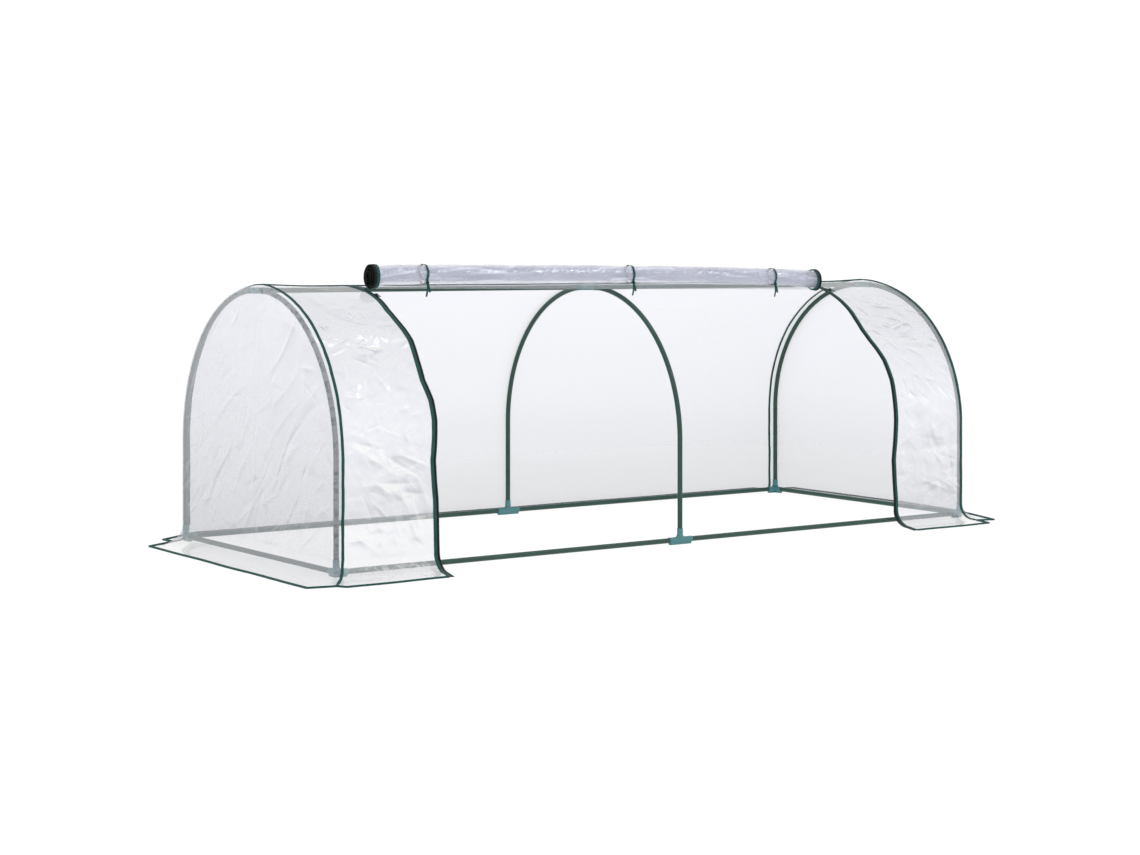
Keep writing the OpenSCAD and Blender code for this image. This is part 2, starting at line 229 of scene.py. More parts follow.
# copies of the one clear film, each with its own lighter or darker base and height ramp: painted light and shade for
# each panel (the end, skirt, roll and flap bases darker than the front)
m_film = film_material("clear_film", (0.85, 0.86, 0.93), 0.41, 0.16, 0.8, 1.15, 1.0, ((0.0, 0.80), (0.15, 0.86), (0.42, 0.97), (0.62, 0.69), (0.80, 0.51)))
m_film_end = film_material("clear_film_end", (0.70, 0.71, 0.78), 0.43, 0.16, 0.15, 1.3, 1.0, ((0.0, 0.66), (0.8, 1.0)))
m_film_rear = film_material("clear_film_rear", (0.80, 0.82, 0.93), 0.40, 0.5, 0.0, 0.30, 0.0, ((0.0, 0.36), (0.10, 0.42), (0.40, 0.81), (0.75, 1.0)), 0.0)
m_film_skirt = film_material("clear_film_skirt", (0.62, 0.625, 0.65), 0.52, 0.18, 0.4, 1.2, 0.6, ((0.0, 0.75), (0.8, 1.0)))
m_film_roll = film_material("clear_film_roll", (0.66, 0.68, 0.79), 0.33, 0.10, 0.8, 1.3, 1.0, ((0.0, 1.0), (0.8, 1.0)))
m_film_flap = film_material("clear_film_flap", (0.40, 0.42, 0.46), 0.30, 0.16, 0.6, 1.0, 0.6, ((0.0, 1.0), (0.8, 1.0)), 0.5)


def woven(name, dark, light, pitch, rough, sheen):
    m, nt, b = new_mat(name)
    uv = N(nt, "ShaderNodeUVMap")
    uv.uv_map = "UVMap"
    w1 = N(nt, "ShaderNodeTexWave", in_Scale=pitch, in_Distortion=0.6)
    w1.bands_direction = "X"
    w2 = N(nt, "ShaderNodeTexWave", in_Scale=pitch, in_Distortion=0.4)
    w2.bands_direction = "Y"
    for w in (w1, w2):
        w.inputs["Detail"].default_value = 1.0
        L(nt, uv.outputs[0], w.inputs["Vector"])
    mul = N(nt, "ShaderNodeMath", operation="MULTIPLY")
    L(nt, w1.outputs["Fac"], mul.inputs[0])
    L(nt, w2.outputs["Fac"], mul.inputs[1])
    co = N(nt, "ShaderNodeTexCoord")
    n = N(nt, "ShaderNodeTexNoise", in_Scale=45.0, in_Detail=4.0)
    L(nt, co.outputs["Object"], n.inputs["Vector"])
    mix = N(nt, "ShaderNodeMath", operation="MULTIPLY_ADD")
    L(nt, mul.outputs[0], mix.inputs[0])
    mix.inputs[1].default_value = 0.5
    L(nt, n.outputs["Fac"], mix.inputs[2])
    r = ramp(nt, mix.outputs[0], [(0.30, dark), (0.95, light)])
    L(nt, r.outputs[0], b.inputs["Base Color"])
    rr = value_map(nt, n.outputs["Fac"], 0.3, 0.7, rough * 0.9, min(1.0, rough * 1.15))
    L(nt, rr.outputs[0], b.inputs["Roughness"])
    b.inputs["Sheen Weight"].default_value = sheen
    b.inputs["Specular IOR Level"].default_value = 0.22
    b.inputs["Sheen Roughness"].default_value = 0.4
    bump(nt, mul.outputs[0], 0.5, 0.0004, b.inputs["Normal"])
    return m


m_bind = woven("binding_tape", (0.006, 0.040, 0.036), (0.015, 0.096, 0.084), 420.0, 0.62, 0.0)
m_zip = woven("zip_tape", (0.0008, 0.0011, 0.0012), (0.003, 0.0035, 0.0038), 420.0, 0.6, 0.0)
m_ribbon = woven("tie_ribbon", (0.0025, 0.036, 0.034), (0.009, 0.094, 0.084), 420.0, 0.5, 0.0)

# pale copy of the tie ribbon: the film's glare painted into its colour
m_tie_painted_glare = woven("tie_painted_glare", (0.30, 0.34, 0.35), (0.42, 0.46, 0.47), 420.0, 0.5, 0.0)

m_teeth, nt, b = new_mat("zip_coil")
co = N(nt, "ShaderNodeTexCoord")
n1 = N(nt, "ShaderNodeTexNoise", in_Scale=300.0)
L(nt, co.outputs["Object"], n1.inputs["Vector"])
r = ramp(nt, n1.outputs["Fac"], [(0.3, (0.005, 0.006, 0.006)), (0.7, (0.014, 0.016, 0.017))])
L(nt, r.outputs[0], b.inputs["Base Color"])
b.inputs["Roughness"].default_value = 0.32

m_metal, nt, b = new_mat("zip_metal")
co = N(nt, "ShaderNodeTexCoord")
n1 = N(nt, "ShaderNodeTexNoise", in_Scale=420.0, in_Detail=6.0)
L(nt, co.outputs["Object"], n1.inputs["Vector"])
r = ramp(nt, n1.outputs["Fac"], [(0.3, (0.030, 0.032, 0.032)), (0.7, (0.060, 0.064, 0.064))])
L(nt, r.outputs[0], b.inputs["Base Color"])
b.inputs["Metallic"].default_value = 0.6
rr = value_map(nt, n1.outputs["Fac"], 0.3, 0.7, 0.30, 0.48)
L(nt, rr.outputs[0], b.inputs["Roughness"])

m_floor, nt, b = new_mat("studio_floor")
co = N(nt, "ShaderNodeTexCoord")
n1 = N(nt, "ShaderNodeTexNoise", in_Scale=2.0)
L(nt, co.outputs["Object"], n1.inputs["Vector"])
r = ramp(nt, n1.outputs["Fac"], [(0.3, (0.115, 0.115, 0.115)), (0.7, (0.125, 0.125, 0.125))])
L(nt, r.outputs[0], b.inputs["Base Color"])
b.inputs["Roughness"].default_value = 0.9
b.inputs["Specular IOR Level"].default_value = 0.1
b.inputs["Emission Color"].default_value = (1, 1, 1, 1)
b.inputs["Emission Strength"].default_value = 0.91

m_back, nt, b = new_mat("studio_backdrop")
co = N(nt, "ShaderNodeTexCoord")
n1 = N(nt, "ShaderNodeTexNoise", in_Scale=2.0)
L(nt, co.outputs["Object"], n1.inputs["Vector"])
r = ramp(nt, n1.outputs["Fac"], [(0.3, (0.0, 0.0, 0.0)), (0.7, (0.001, 0.001, 0.001))])
L(nt, r.outputs[0], b.inputs["Base Color"])
b.inputs["Roughness"].default_value = 1.0
b.inputs["Specular IOR Level"].default_value = 0.0
b.inputs["Emission Color"].default_value = (1, 1, 1, 1)
b.inputs["Emission Strength"].default_value = 1.05

# floor with a far rising sweep
fv, ff = [], []
prof = [(-14, 0), (3.2, 0), (9, 0)] + [(9 + 4 * math.sin(a), 4 - 4 * math.cos(a)) for a in np.linspace(0.1, math.pi / 2, 14)] + [(13, 12)]
for q, z in prof:
    for p in (-22, 22):
        d = Vector((math.sin(0.616), math.cos(0.616), 0))
        s = Vector((math.cos(0.616), -math.sin(0.616), 0))
        c = d * q + s * p
        fv.append((c.x, c.y, z - 0.0002))
for i in range(len(prof) - 1):
    ff.append((2 * i, 2 * i + 1, 2 * i + 3, 2 * i + 2))
fm = bpy.data.meshes.new("floor")
fm.from_pydata(fv, [], ff)
fm.materials.append(m_floor)
fm.materials.append(m_back)
for p in fm.polygons:
    p.use_smooth = p.index > 1
    p.material_index = min(p.index, 1)
floor = bpy.data.objects.new("floor", fm)
bpy.context.scene.collection.objects.link(floor)

world = bpy.data.worlds.new("studio")
bpy.context.scene.world = world
world.use_nodes = True
nt = world.node_tree
nt.nodes.clear()
wo = nt.nodes.new("ShaderNodeOutputWorld")
bg = nt.nodes.new("ShaderNodeBackground")
tc = nt.nodes.new("ShaderNodeTexCoord")
sx = nt.nodes.new("ShaderNodeSeparateXYZ")
L(nt, tc.outputs["Generated"], sx.inputs[0])
wr = ramp(nt, sx.outputs["Z"], [(0.0, (1.0, 1.0, 1.0)), (1.0, (1.0, 1.0, 1.0))])
L(nt, wr.outputs[0], bg.inputs[0])
bg.inputs[1].default_value = 1.02
L(nt, bg.outputs[0], wo.inputs[0])


def area(name, loc, target, size, power, color=(1, 1, 1)):
    d = bpy.data.lights.new(name, "AREA")
    d.shape = "RECTANGLE"
    d.size, d.size_y = size
    d.energy = power
    d.color = color
    o = bpy.data.objects.new(name, d)
    bpy.context.scene.collection.objects.link(o)
    o.location = loc
    o.rotation_euler = (Vector(target) - Vector(loc)).to_track_quat("-Z", "Y").to_euler()
    return o


area("key_light", (-2.6, -4.6, 4.6), (-0.3, 0, 0.5), (0.34, 0.34), 17)
area("fill_light", (3.2, -4.5, 4.4), (0.6, 0, 0.5), (0.34, 0.34), 13)
area("top_light", (0.0, -0.8, 5.0), (0, 0, 0.4), (3.0, 0.2), 16)


# ------------------------------------------------------------------ noise and mesh helpers
def perlin(x, y, seed):
    """Gradient noise, about -1 to 1, on arrays."""
    rs = np.random.RandomState(seed)
    perm = rs.permutation(256)
    perm = np.concatenate([perm, perm])
    ang = rs.rand(256) * 2 * math.pi
    gx, gy = np.cos(ang), np.sin(ang)
    xi, yi = np.floor(x).astype(int), np.floor(y).astype(int)
    xf, yf = x - xi, y - yi
    u, v = xf ** 3 * (xf * (xf * 6 - 15) + 10), yf ** 3 * (yf * (yf * 6 - 15) + 10)

    def g(ix, iy, fx, fy):
        h = perm[(perm[ix & 255] + iy) & 255]
        return gx[h] * fx + gy[h] * fy

    a = g(xi, yi, xf, yf)
    b_ = g(xi + 1, yi, xf - 1, yf)
    c = g(xi, yi + 1, xf, yf - 1)
    d = g(xi + 1, yi + 1, xf - 1, yf - 1)
    return 1.5 * ((a + u * (b_ - a)) + v * ((c + u * (d - c)) - (a + u * (b_ - a))))


def ridged(x, y, seed, f, octaves=3, gain=0.5):
    s, a = np.zeros_like(x), 1.0
    wx, wy = perlin(x * f * 0.6, y * f * 0.6, seed + 50), perlin(x * f * 0.6, y * f * 0.6, seed + 51)
    for o in range(octaves):
        k = f * 2 ** o
        s += a * (1 - 2 * np.abs(perlin(x * k + 0.9 * wx, y * k + 0.9 * wy, seed + o)) - 0.45)
        a *= gain
    return s


def creases(x, y, seed, n, bounds, length=(0.05, 0.25), width=(0.003, 0.009), amp=(0.0006, 0.0018), angle=None):
    """Sum of n soft crease lines, each a straight ridge that fades at its ends."""
    rs = np.random.RandomState(seed)
    x0, x1, y0, y1 = bounds
    h = np.zeros_like(x)
    for _ in range(n):
        cx, cy = rs.uniform(x0, x1), rs.uniform(y0, y1)
        t = rs.uniform(0, math.pi) if angle is None else rs.normal(angle[0], angle[1])
        ln, w = rs.uniform(*length), rs.uniform(*width)
        a = rs.uniform(*amp) * rs.choice([-1, 1])
        dx, dy = x - cx, y - cy
        bend_ = rs.uniform(-1.2, 1.2)
        p = dx * math.cos(t) + dy * math.sin(t)
        q = -dx * math.sin(t) + dy * math.cos(t) - bend_ * p * p
        win = np.clip(1 - (p / (ln / 2)) ** 2, 0, 1) ** 1.5
        h += a * win * np.exp(-np.sqrt((q / w) ** 2 + 0.05))
    return h


def link(name, mesh, mats):
    for m in mats if isinstance(mats, (list, tuple)) else [mats]:
        mesh.materials.append(m)
    o = bpy.data.objects.new(name, mesh)
    bpy.context.scene.collection.objects.link(o)
    return o


def grid(name, P, mats, uv=None, mat_of=None, flip=False, fold_shading=None, press=None):
    """A sheet from a (rows, columns, 3) array of points."""
    nu, nv = P.shape[:2]
    idx = np.arange(nu * nv).reshape(nu, nv)
    q = np.stack([idx[:-1, :-1], idx[1:, :-1], idx[1:, 1:], idx[:-1, 1:]], -1).reshape(-1, 4)
    if flip:
        q = q[:, ::-1]
    me = bpy.data.meshes.new(name)
    me.from_pydata(P.reshape(-1, 3).tolist(), [], q.tolist())
    me.polygons.foreach_set("use_smooth", np.ones(len(me.polygons), bool))
    if uv is not None:
        layer = me.uv_layers.new(name="UVMap")
        li = np.zeros(len(me.loops), np.int32)
        me.loops.foreach_get("vertex_index", li)
        layer.data.foreach_set("uv", uv.reshape(-1, 2)[li].astype(np.float32).ravel())
    if mat_of is not None:
        me.polygons.foreach_set("material_index", mat_of.reshape(-1).astype(np.int32))
    if fold_shading is not None:
        put_fold_shading(me, fold_shading)
    if press is not None:
        put_press(me, press)
    me.update()
    return link(name, me, mats)


def fold_shading_of(P, h, gain=9.0, axis=(0.45, 0.9)):
    """Shade of a wrinkled grid: the slope of h across the light, from -1 to 1."""
    d0 = np.linalg.norm(np.gradient(P, axis=0), axis=-1) + 1e-9
    d1 = np.linalg.norm(np.gradient(P, axis=1), axis=-1) + 1e-9
    g0 = np.gradient(h, axis=0) / d0
    g1 = np.gradient(h, axis=1) / d1
    return np.clip(gain * (g0 * axis[1] + g1 * axis[0]), -1, 1)


def put_press(me, values):
    a = me.attributes.new("press", "FLOAT", "POINT")
    a.data.foreach_set("value", np.asarray(values, np.float32).ravel())


def put_fold_shading(me, values):
    a = me.attributes.new("fold_shading", "FLOAT", "POINT")
    a.data.foreach_set("value", np.asarray(values, np.float32).ravel())


def unit(v):
    return v / np.maximum(np.linalg.norm(v, axis=-1, keepdims=True), 1e-12)


def sweep(name, path, normal, width, thick, mat, lift=0.0, wob=0.0, seed=0, taper=None, below=0.0):
    """A flat tape with rounded edges along a path. normal points off the surface it lies on."""
    P = np.asarray(path, float)
    n = unit(np.asarray(normal, float))
    t = unit(np.gradient(P, axis=0))
    s = unit(np.cross(t, n))
    n = unit(np.cross(s, t))
    d = np.concatenate([[0], np.cumsum(np.linalg.norm(np.diff(P, axis=0), axis=1))])
    w = np.full(len(P), width) if np.isscalar(width) else np.asarray(width, float)
    if wob:
        w = w * (1 + wob * perlin(d * 22, d * 0 + 3.3, seed + 5))
        P = P + s * (wob * 0.25 * width * perlin(d * 14, d * 0 + 9.1, seed + 6))[:, None]
    if taper is not None:
        w = w * taper
    e = min(0.0008, thick * 0.45)
    sec = [(-0.5, -below), (-0.5, thick * 0.55), (-0.47, thick * 0.9), (-0.28, thick), (0, thick * 1.04), (0.28, thick), (0.47, thick * 0.9), (0.5, thick * 0.55), (0.5, -below), (0, -below)]
    k = len(sec)
    V = np.zeros((len(P), k, 3))
    for j, (a, h) in enumerate(sec):
        V[:, j] = P + s * (a * w)[:, None] + n * (h + lift)
    idx = np.arange(len(P) * k).reshape(len(P), k)
    nxt = np.roll(idx, -1, 1)
    q = np.stack([idx[:-1], nxt[:-1], nxt[1:], idx[1:]], -1).reshape(-1, 4).tolist()
    q.append(list(map(int, idx[0][::-1])))
    q.append(list(map(int, idx[-1])))
    me = bpy.data.meshes.new(name)
    me.from_pydata(V.reshape(-1, 3).tolist(), [], q)
    me.polygons.foreach_set("use_smooth", np.ones(len(me.polygons), bool))
    uvl = me.uv_layers.new(name="UVMap")
    across = np.array([a for a, h in sec])
    U = np.stack([np.repeat(d[:, None], k, 1), across[None, :] * w[:, None]], -1).reshape(-1, 2)
    li = np.zeros(len(me.loops), np.int32)
    me.loops.foreach_get("vertex_index", li)
    uvl.data.foreach_set("uv", U[li].astype(np.float32).ravel())
    me.update()
    return link(name, me, mat)


def join(name, objs):
    """Joins meshes into the first, and names it."""
    bpy.ops.object.select_all(action="DESELECT")
    for o in objs:
        o.select_set(True)
    bpy.context.view_layer.objects.active = objs[0]
    if len(objs) > 1:
        bpy.ops.object.join()
    objs[0].name = name
    objs[0].data.name = name
    return objs[0]


# ------------------------------------------------------------------ the cover's profile
S_CROWN = CROWN
S_ARC = RF * math.pi / 2
Z_C = 0.047                      # where the wall starts to curve into the skirt
S_LEG = ARC_Z - Z_C
S_WALL = S_CROWN + S_ARC + S_LEG


def wall_profile(s, r=RF):
    """Distance down from the ridge line to (y, z, normal y, normal z) on the rear side."""
    s = np.asarray(s, float)
    a = np.clip((s - S_CROWN) / RF, 0, math.pi / 2)
    y = np.where(s < S_CROWN, s, CROWN + RF * np.sin(a))
    z = ARC_Z + RF * np.cos(a)
    z = np.where(s > S_CROWN + S_ARC, ARC_Z - (s - S_CROWN - S_ARC), z)
    y = np.where(s > S_CROWN + S_ARC, WALL_Y, y)
    return y, z, np.sin(a), np.cos(a)


def skirt_rows(n_curve=12, n_flat=9):
    """(share of the way out, height over the film's ground level) of the rows of a skirt, for a reach of 1 and a curve share c."""
    b_ = np.linspace(0, math.pi / 2, n_curve + 1)[1:]
    return b_, np.linspace(0, 1, n_flat + 1)[1:]


def skirt(B, H, seed, curve=0.62, ripple=0.0012):
    """Rows of points from the wall's bottom edge B (n, 3) out to the hem line H (n, 2), first row left out."""
    b_, f_ = skirt_rows()
    d = H - B[:, :2]
    reach = np.linalg.norm(d, axis=1)
    a = np.minimum(curve * reach, 0.105)
    rows = []
    h = B[:, 2] - FILM_Z
    for t in b_:
        q = a * (1 - math.cos(t)) / reach
        rows.append(np.column_stack([B[:, :2] + d * q[:, None], B[:, 2] - h * math.sin(t)]))
    for t in f_:
        q = (a + (reach - a) * t) / reach
        xy = B[:, :2] + d * q[:, None]
        up = ripple * (0.5 + 0.5 * perlin(xy[:, 0] * 9 + t, xy[:, 1] * 9, seed)) * math.sin(math.pi * min(t, 0.96))
        rows.append(np.column_stack([xy, np.full(len(B), FILM_Z) + up]))
    return np.array(rows)


# heights, and how far the opening's slack edge stands from the middle there
ZL = np.array([0.0240, 0.0820, 0.1410, 0.2000, 0.2590, 0.3170, 0.3750, 0.4330, 0.4910, 0.5490, 0.6060, 0.6640, 0.6930, 0.7220, 0.7510, 0.7800])
XL = np.array([-0.9023, -0.9040, -0.9053, -0.9069, -0.9126, -0.9160, -0.9100, -0.9043, -0.9061, -0.9208, -0.9198, -0.9137, -0.9184, -0.9261, -0.9299, -0.9248])
ZR = np.array([0.0810, 0.1500, 0.2180, 0.2860, 0.3540, 0.4220, 0.4890, 0.5570, 0.5910, 0.6250, 0.6580, 0.6920, 0.7260, 0.7600])
XR = np.array([0.9178, 0.9120, 0.9077, 0.9155, 0.9197, 0.9213, 0.9243, 0.9166, 0.9042, 0.8895, 0.8817, 0.8839, 0.8908, 0.8939])


def door_edge(side, z):
    """X of the opening's edge (the zip teeth) at a height."""
    x = np.interp(z, ZL, XL) if side < 0 else np.interp(z, ZR, XR)
    return x


SEAM = {-1: -1.2265, 1: 1.2385}
YF = -1.0   # front side sign

# hem lines in plan, front side and ends
HEM = {
    "seam_foot": {-1: (-1.331, -0.655), 1: (1.215, -0.605)},
    "front_outer": {-1: (-1.314, -0.6860), 1: (1.188, -0.6862)},
    "front_zip": {-1: (-0.967, -0.6835), 1: (0.838, -0.6835)},
    "end_front": {-1: (-1.414, -0.636), 1: (1.272, -0.628)},
    "end_rear": {-1: (-1.403, 0.415), 1: (1.392, 0.560)},
    "rear_foot": {-1: (-1.292, 0.478), 1: (1.275, 0.585)},
    "rear_outer": {-1: (-1.300, 0.538), 1: (1.255, 0.640)},
}


def seam_x(side, y):
    """X of the end seam: on the right its rear half lies further in."""
    y = np.asarray(y, float)
    if side < 0:
        return np.full_like(y, SEAM[-1])
    t = np.clip((y - 0.0) / 0.20, 0, 1)
    return SEAM[1] - 0.0165 * t * t * (3 - 2 * t)


def lift(x, s_):
    """The film stands off the connectors at the crown and on the bends of the end hoops."""
    near = np.exp(-((np.abs(x) - 1.245) / 0.10) ** 2)
    return near * (0.0062 * np.exp(-(s_ / 0.10) ** 2) + 0.0022 * np.exp(-((s_ - 0.42) / 0.22) ** 2)) + 0.0012 * np.exp(-(x / 0.06) ** 2 - (s_ / 0.05) ** 2)


def film_height(x, s, seed, bounds, k=1.0, n=120, pull=None):
    """Wrinkles of a film panel, in metres off its smooth surface."""
    h = 0.00085 * k * ridged(x, s, seed, 7.0, 3, 0.5)
    h += 0.0016 * k * perlin(x * 4.2, s * 4.2, seed + 9)
    h += creases(x, s, seed + 20, n, bounds, (0.05, 0.24), (0.0028, 0.009), (0.0005 * k, 0.0017 * k))
    return h


# ------------------------------------------------------------------ front panels
def front_panel(side):
    name = "cover_front_left" if side < 0 else "cover_front_right"
    nx = 104
    s = np.linspace(0, S_WALL, 380)
    y, z, ny, nz = wall_profile(s)
    f = np.linspace(0, 1, nx)
    xe = door_edge(side, z) + side * 0.0165          # film edge, under the binding
    xs = np.full_like(xe, SEAM[side])
    X = xs[:, None] + (xe - xs)[:, None] * f[None, :]
    Sg = np.repeat(s[:, None], nx, 1)
    x0, x1 = X.min(), X.max()
    bounds = (x0, x1, 0.05, S_WALL)
    sd = 11 if side < 0 else 31
    h = 0.0003 * ridged(X, Sg, sd, 8.0, 2, 0.5) + 0.0016 * perlin(X * 4.2, Sg * 4.2, sd + 9)
    h += creases(X, Sg, sd + 20, 36, bounds, (0.05, 0.16), (0.005, 0.012), (0.0003, 0.0010))
    # crumpled patch on the bend, where the door pulls sideways
    patch = np.exp(-((Sg - 0.40) / 0.13) ** 2) + 0.35 * np.exp(-((Sg - 0.66) / 0.10) ** 2)
    h += patch * creases(X, Sg, 97 + side, 120, (x0, x1, 0.14, 0.76), (0.025, 0.11), (0.003, 0.007), (0.0010, 0.0030), angle=(side * 0.75, 0.6))
    h += patch * 0.0003 * ridged(X, Sg, sd + 70, 13.0, 2, 0.5)
    # long pulls from the hoop foot up and across the wall
    low = np.clip((Sg - (S_WALL - 0.42)) / 0.18, 0, 1)
    h += low * creases(X, Sg, 77 + side, 44, (x0, x1, S_WALL - 0.36, S_WALL), (0.05, 0.20), (0.006, 0.016), (0.0006, 0.0022), angle=(-side * 0.5, 0.7))
    h += low * 0.0011 * ridged(X, Sg, sd + 60, 7.0, 3, 0.5)
    h += 0.0030 * np.sin(np.pi * np.clip(f, 0, 1))[None, :] * perlin(X * 3 + 1.3, Sg * 2.4, 5)
    # held flat at the seam and the ridge; the free edge is a little slack
    hold = np.clip(f / 0.10, 0, 1)[None, :] * np.clip(Sg / 0.03, 0, 1) * (1 - 0.45 * np.clip((f - 0.85) / 0.15, 0, 1))[None, :]
    fade = np.clip((S_WALL - Sg) / 0.05, 0, 1)
    h = np.clip(h * hold, -0.0042, 0.0072) * (0.25 + 0.75 * fade)
    up = lift(X, Sg)
    P = np.stack([X, -(y[:, None] + ny[:, None] * (h + up)), z[:, None] + nz[:, None] * (h + up)], -1)
    # painted shade from the wrinkles' slope across the light, with painted white glints on the crests of the crumpled
    # patch
    fold_shading = fold_shading_of(P, h, 8.0, (0.5 * side, 0.9))
    fold_shading = fold_shading + 2.4 * np.clip(patch, 0, 1) * np.clip(fold_shading - 0.5, 0, 1)
    B = P[-1]
    foot, outer, zipf = (np.array(HEM[k][side]) for k in ("seam_foot", "front_outer", "front_zip"))
    zipf = zipf + np.array([side * 0.0165, 0])
    k1 = 0.20
    H = np.where((f < k1)[:, None], foot + (outer - foot) * (np.clip(f / k1, 0, 1) ** 0.8)[:, None], outer + (zipf - outer) * np.clip((f - k1) / (1 - k1), 0, 1)[:, None])
    H[:, 1] += 0.0025 * np.sin(f * 9) * (f > k1)
    K = skirt(B, H, 60 + side)
    if side < 0:
        # the bend into the skirt is crumpled at the left
        for i in range(2, 14):
            wv = 0.0022 * np.sin(math.pi * min(i / 13, 1)) * (ridged(K[i][:, 0], K[i][:, 1] + 0.3 * i / 12, 91, 26.0, 2) + 0.2)
            K[i][:, 2] = np.maximum(K[i][:, 2] + wv * np.clip(f * 8, 0, 1), FILM_Z)
    # painted shade from the skirt's ripples; at the left, painted glints along the bend
    kf = fold_shading_of(K, K[..., 2] - np.mean(K[..., 2], axis=1, keepdims=True), 3.0, (0.9, 0.1)) * 0.5
    if side < 0:
        ii = np.arange(len(K))[:, None] / 12.0
        glint = np.clip(ridged(K[..., 0] * 1.0, ii * 0.10, 95, 24.0, 2) * 2.2 - 0.2, 0, 1.3) * np.exp(-((ii - 0.50) / 0.22) ** 2) * np.clip((f - 0.12) * 8, 0, 1)[None, :] * np.clip((1 - f) * 10, 0, 1)[None, :]
        kf = kf + 1.3 * glint
    P = np.concatenate([P, K], 0)
    mat_of = np.zeros((P.shape[0] - 1, nx - 1), int)
    mat_of[len(s) + 5:, :] = 1
    o = grid(name, P, [m_film, m_film_skirt], mat_of=mat_of, flip=side > 0, fold_shading=np.concatenate([fold_shading, kf], 0))
    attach(o, "root")
    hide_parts(name)
    return o, P


front = {}
for side in (-1, 1):
    front[side] = front_panel(side)

# ------------------------------------------------------------------ rear panel
nx, ns = 330, 200
s = np.linspace(0, S_WALL, ns)
y, z, ny, nz = wall_profile(s)
fx = np.linspace(0, 1, nx)
X = SEAM[-1] + (seam_x(1, y) - SEAM[-1])[:, None] * fx[None, :]
Sg = np.repeat(s[:, None], nx, 1)
h = 0.0012 * perlin(X * 2.2, Sg * 2.6, 41)
for xe_, sg_, w_ in ((SEAM[-1], 1, 0.20), (SEAM[1], -1, 0.05)):
    near = np.exp(-(np.abs(X - xe_) / w_) ** 2)
    h += near * creases(X, Sg, 46 + sg_, 120, (xe_ - 0.3, xe_ + 0.3, 0.1, S_WALL), (0.05, 0.22), (0.003, 0.009), (0.0006, 0.0020))
h += 0.55 * creases(X, Sg, 45, 60, (SEAM[-1], SEAM[1], 0.05, S_WALL), (0.12, 0.5), (0.006, 0.016), (0.0003, 0.0009))
hold = np.clip(np.minimum(X - SEAM[-1], seam_x(1, y)[:, None] - X) / 0.03, 0, 1) * np.clip(Sg / 0.03, 0, 1)
over_hoop = 1 - 0.75 * np.exp(-(X / 0.02) ** 2)
h = np.clip(h * hold, -0.0035, 0.006) * over_hoop
h -= 0.0020 * (0.5 - 0.5 * np.cos(np.pi * np.clip(np.abs(X), 0, 1.22) / 0.61)) * np.clip(Sg / 0.2, 0, 1) * hold
h = np.maximum(h, -0.0038)
up = lift(X, Sg)
P = np.stack([X, y[:, None] + ny[:, None] * (h + up), z[:, None] + nz[:, None] * (h + up)], -1)
# painted shade from the wrinkles' slope across the light
fold_shading = fold_shading_of(P, h, 9.0)
B = P[-1]
fl, ol, orr, fr = (np.array(HEM[k][sd]) for k, sd in (("rear_foot", -1), ("rear_outer", -1), ("rear_outer", 1), ("rear_foot", 1)))
# hem line: out from the left corner, along the wall, and in to the right corner
hx = [fl[0], ol[0], ol[0] + 0.16, orr[0], fr[0]]
hy = [fl[1], ol[1], 0.641, orr[1], fr[1]]
hf = [0.0, 0.022, 0.082, 0.978, 1.0]
H = np.column_stack([np.interp(fx, hf, hx), np.interp(fx, hf, hy)])
H[:, 1] += 0.003 * np.sin(fx * 31) * np.clip((fx - 0.09) / 0.05, 0, 1) * np.clip((0.97 - fx) / 0.05, 0, 1)
K = skirt(B, H, 71)
P_rear = np.concatenate([P, K], 0)
mat_of = np.zeros((P_rear.shape[0] - 1, nx - 1), int)
mat_of[ns + 5:, :] = 1
rear = grid("cover_rear", P_rear, [m_film_rear, m_film_skirt], mat_of=mat_of, flip=True, fold_shading=np.concatenate([fold_shading, np.zeros(K.shape[:2])], 0))
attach(rear, "root")
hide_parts("cover_rear")


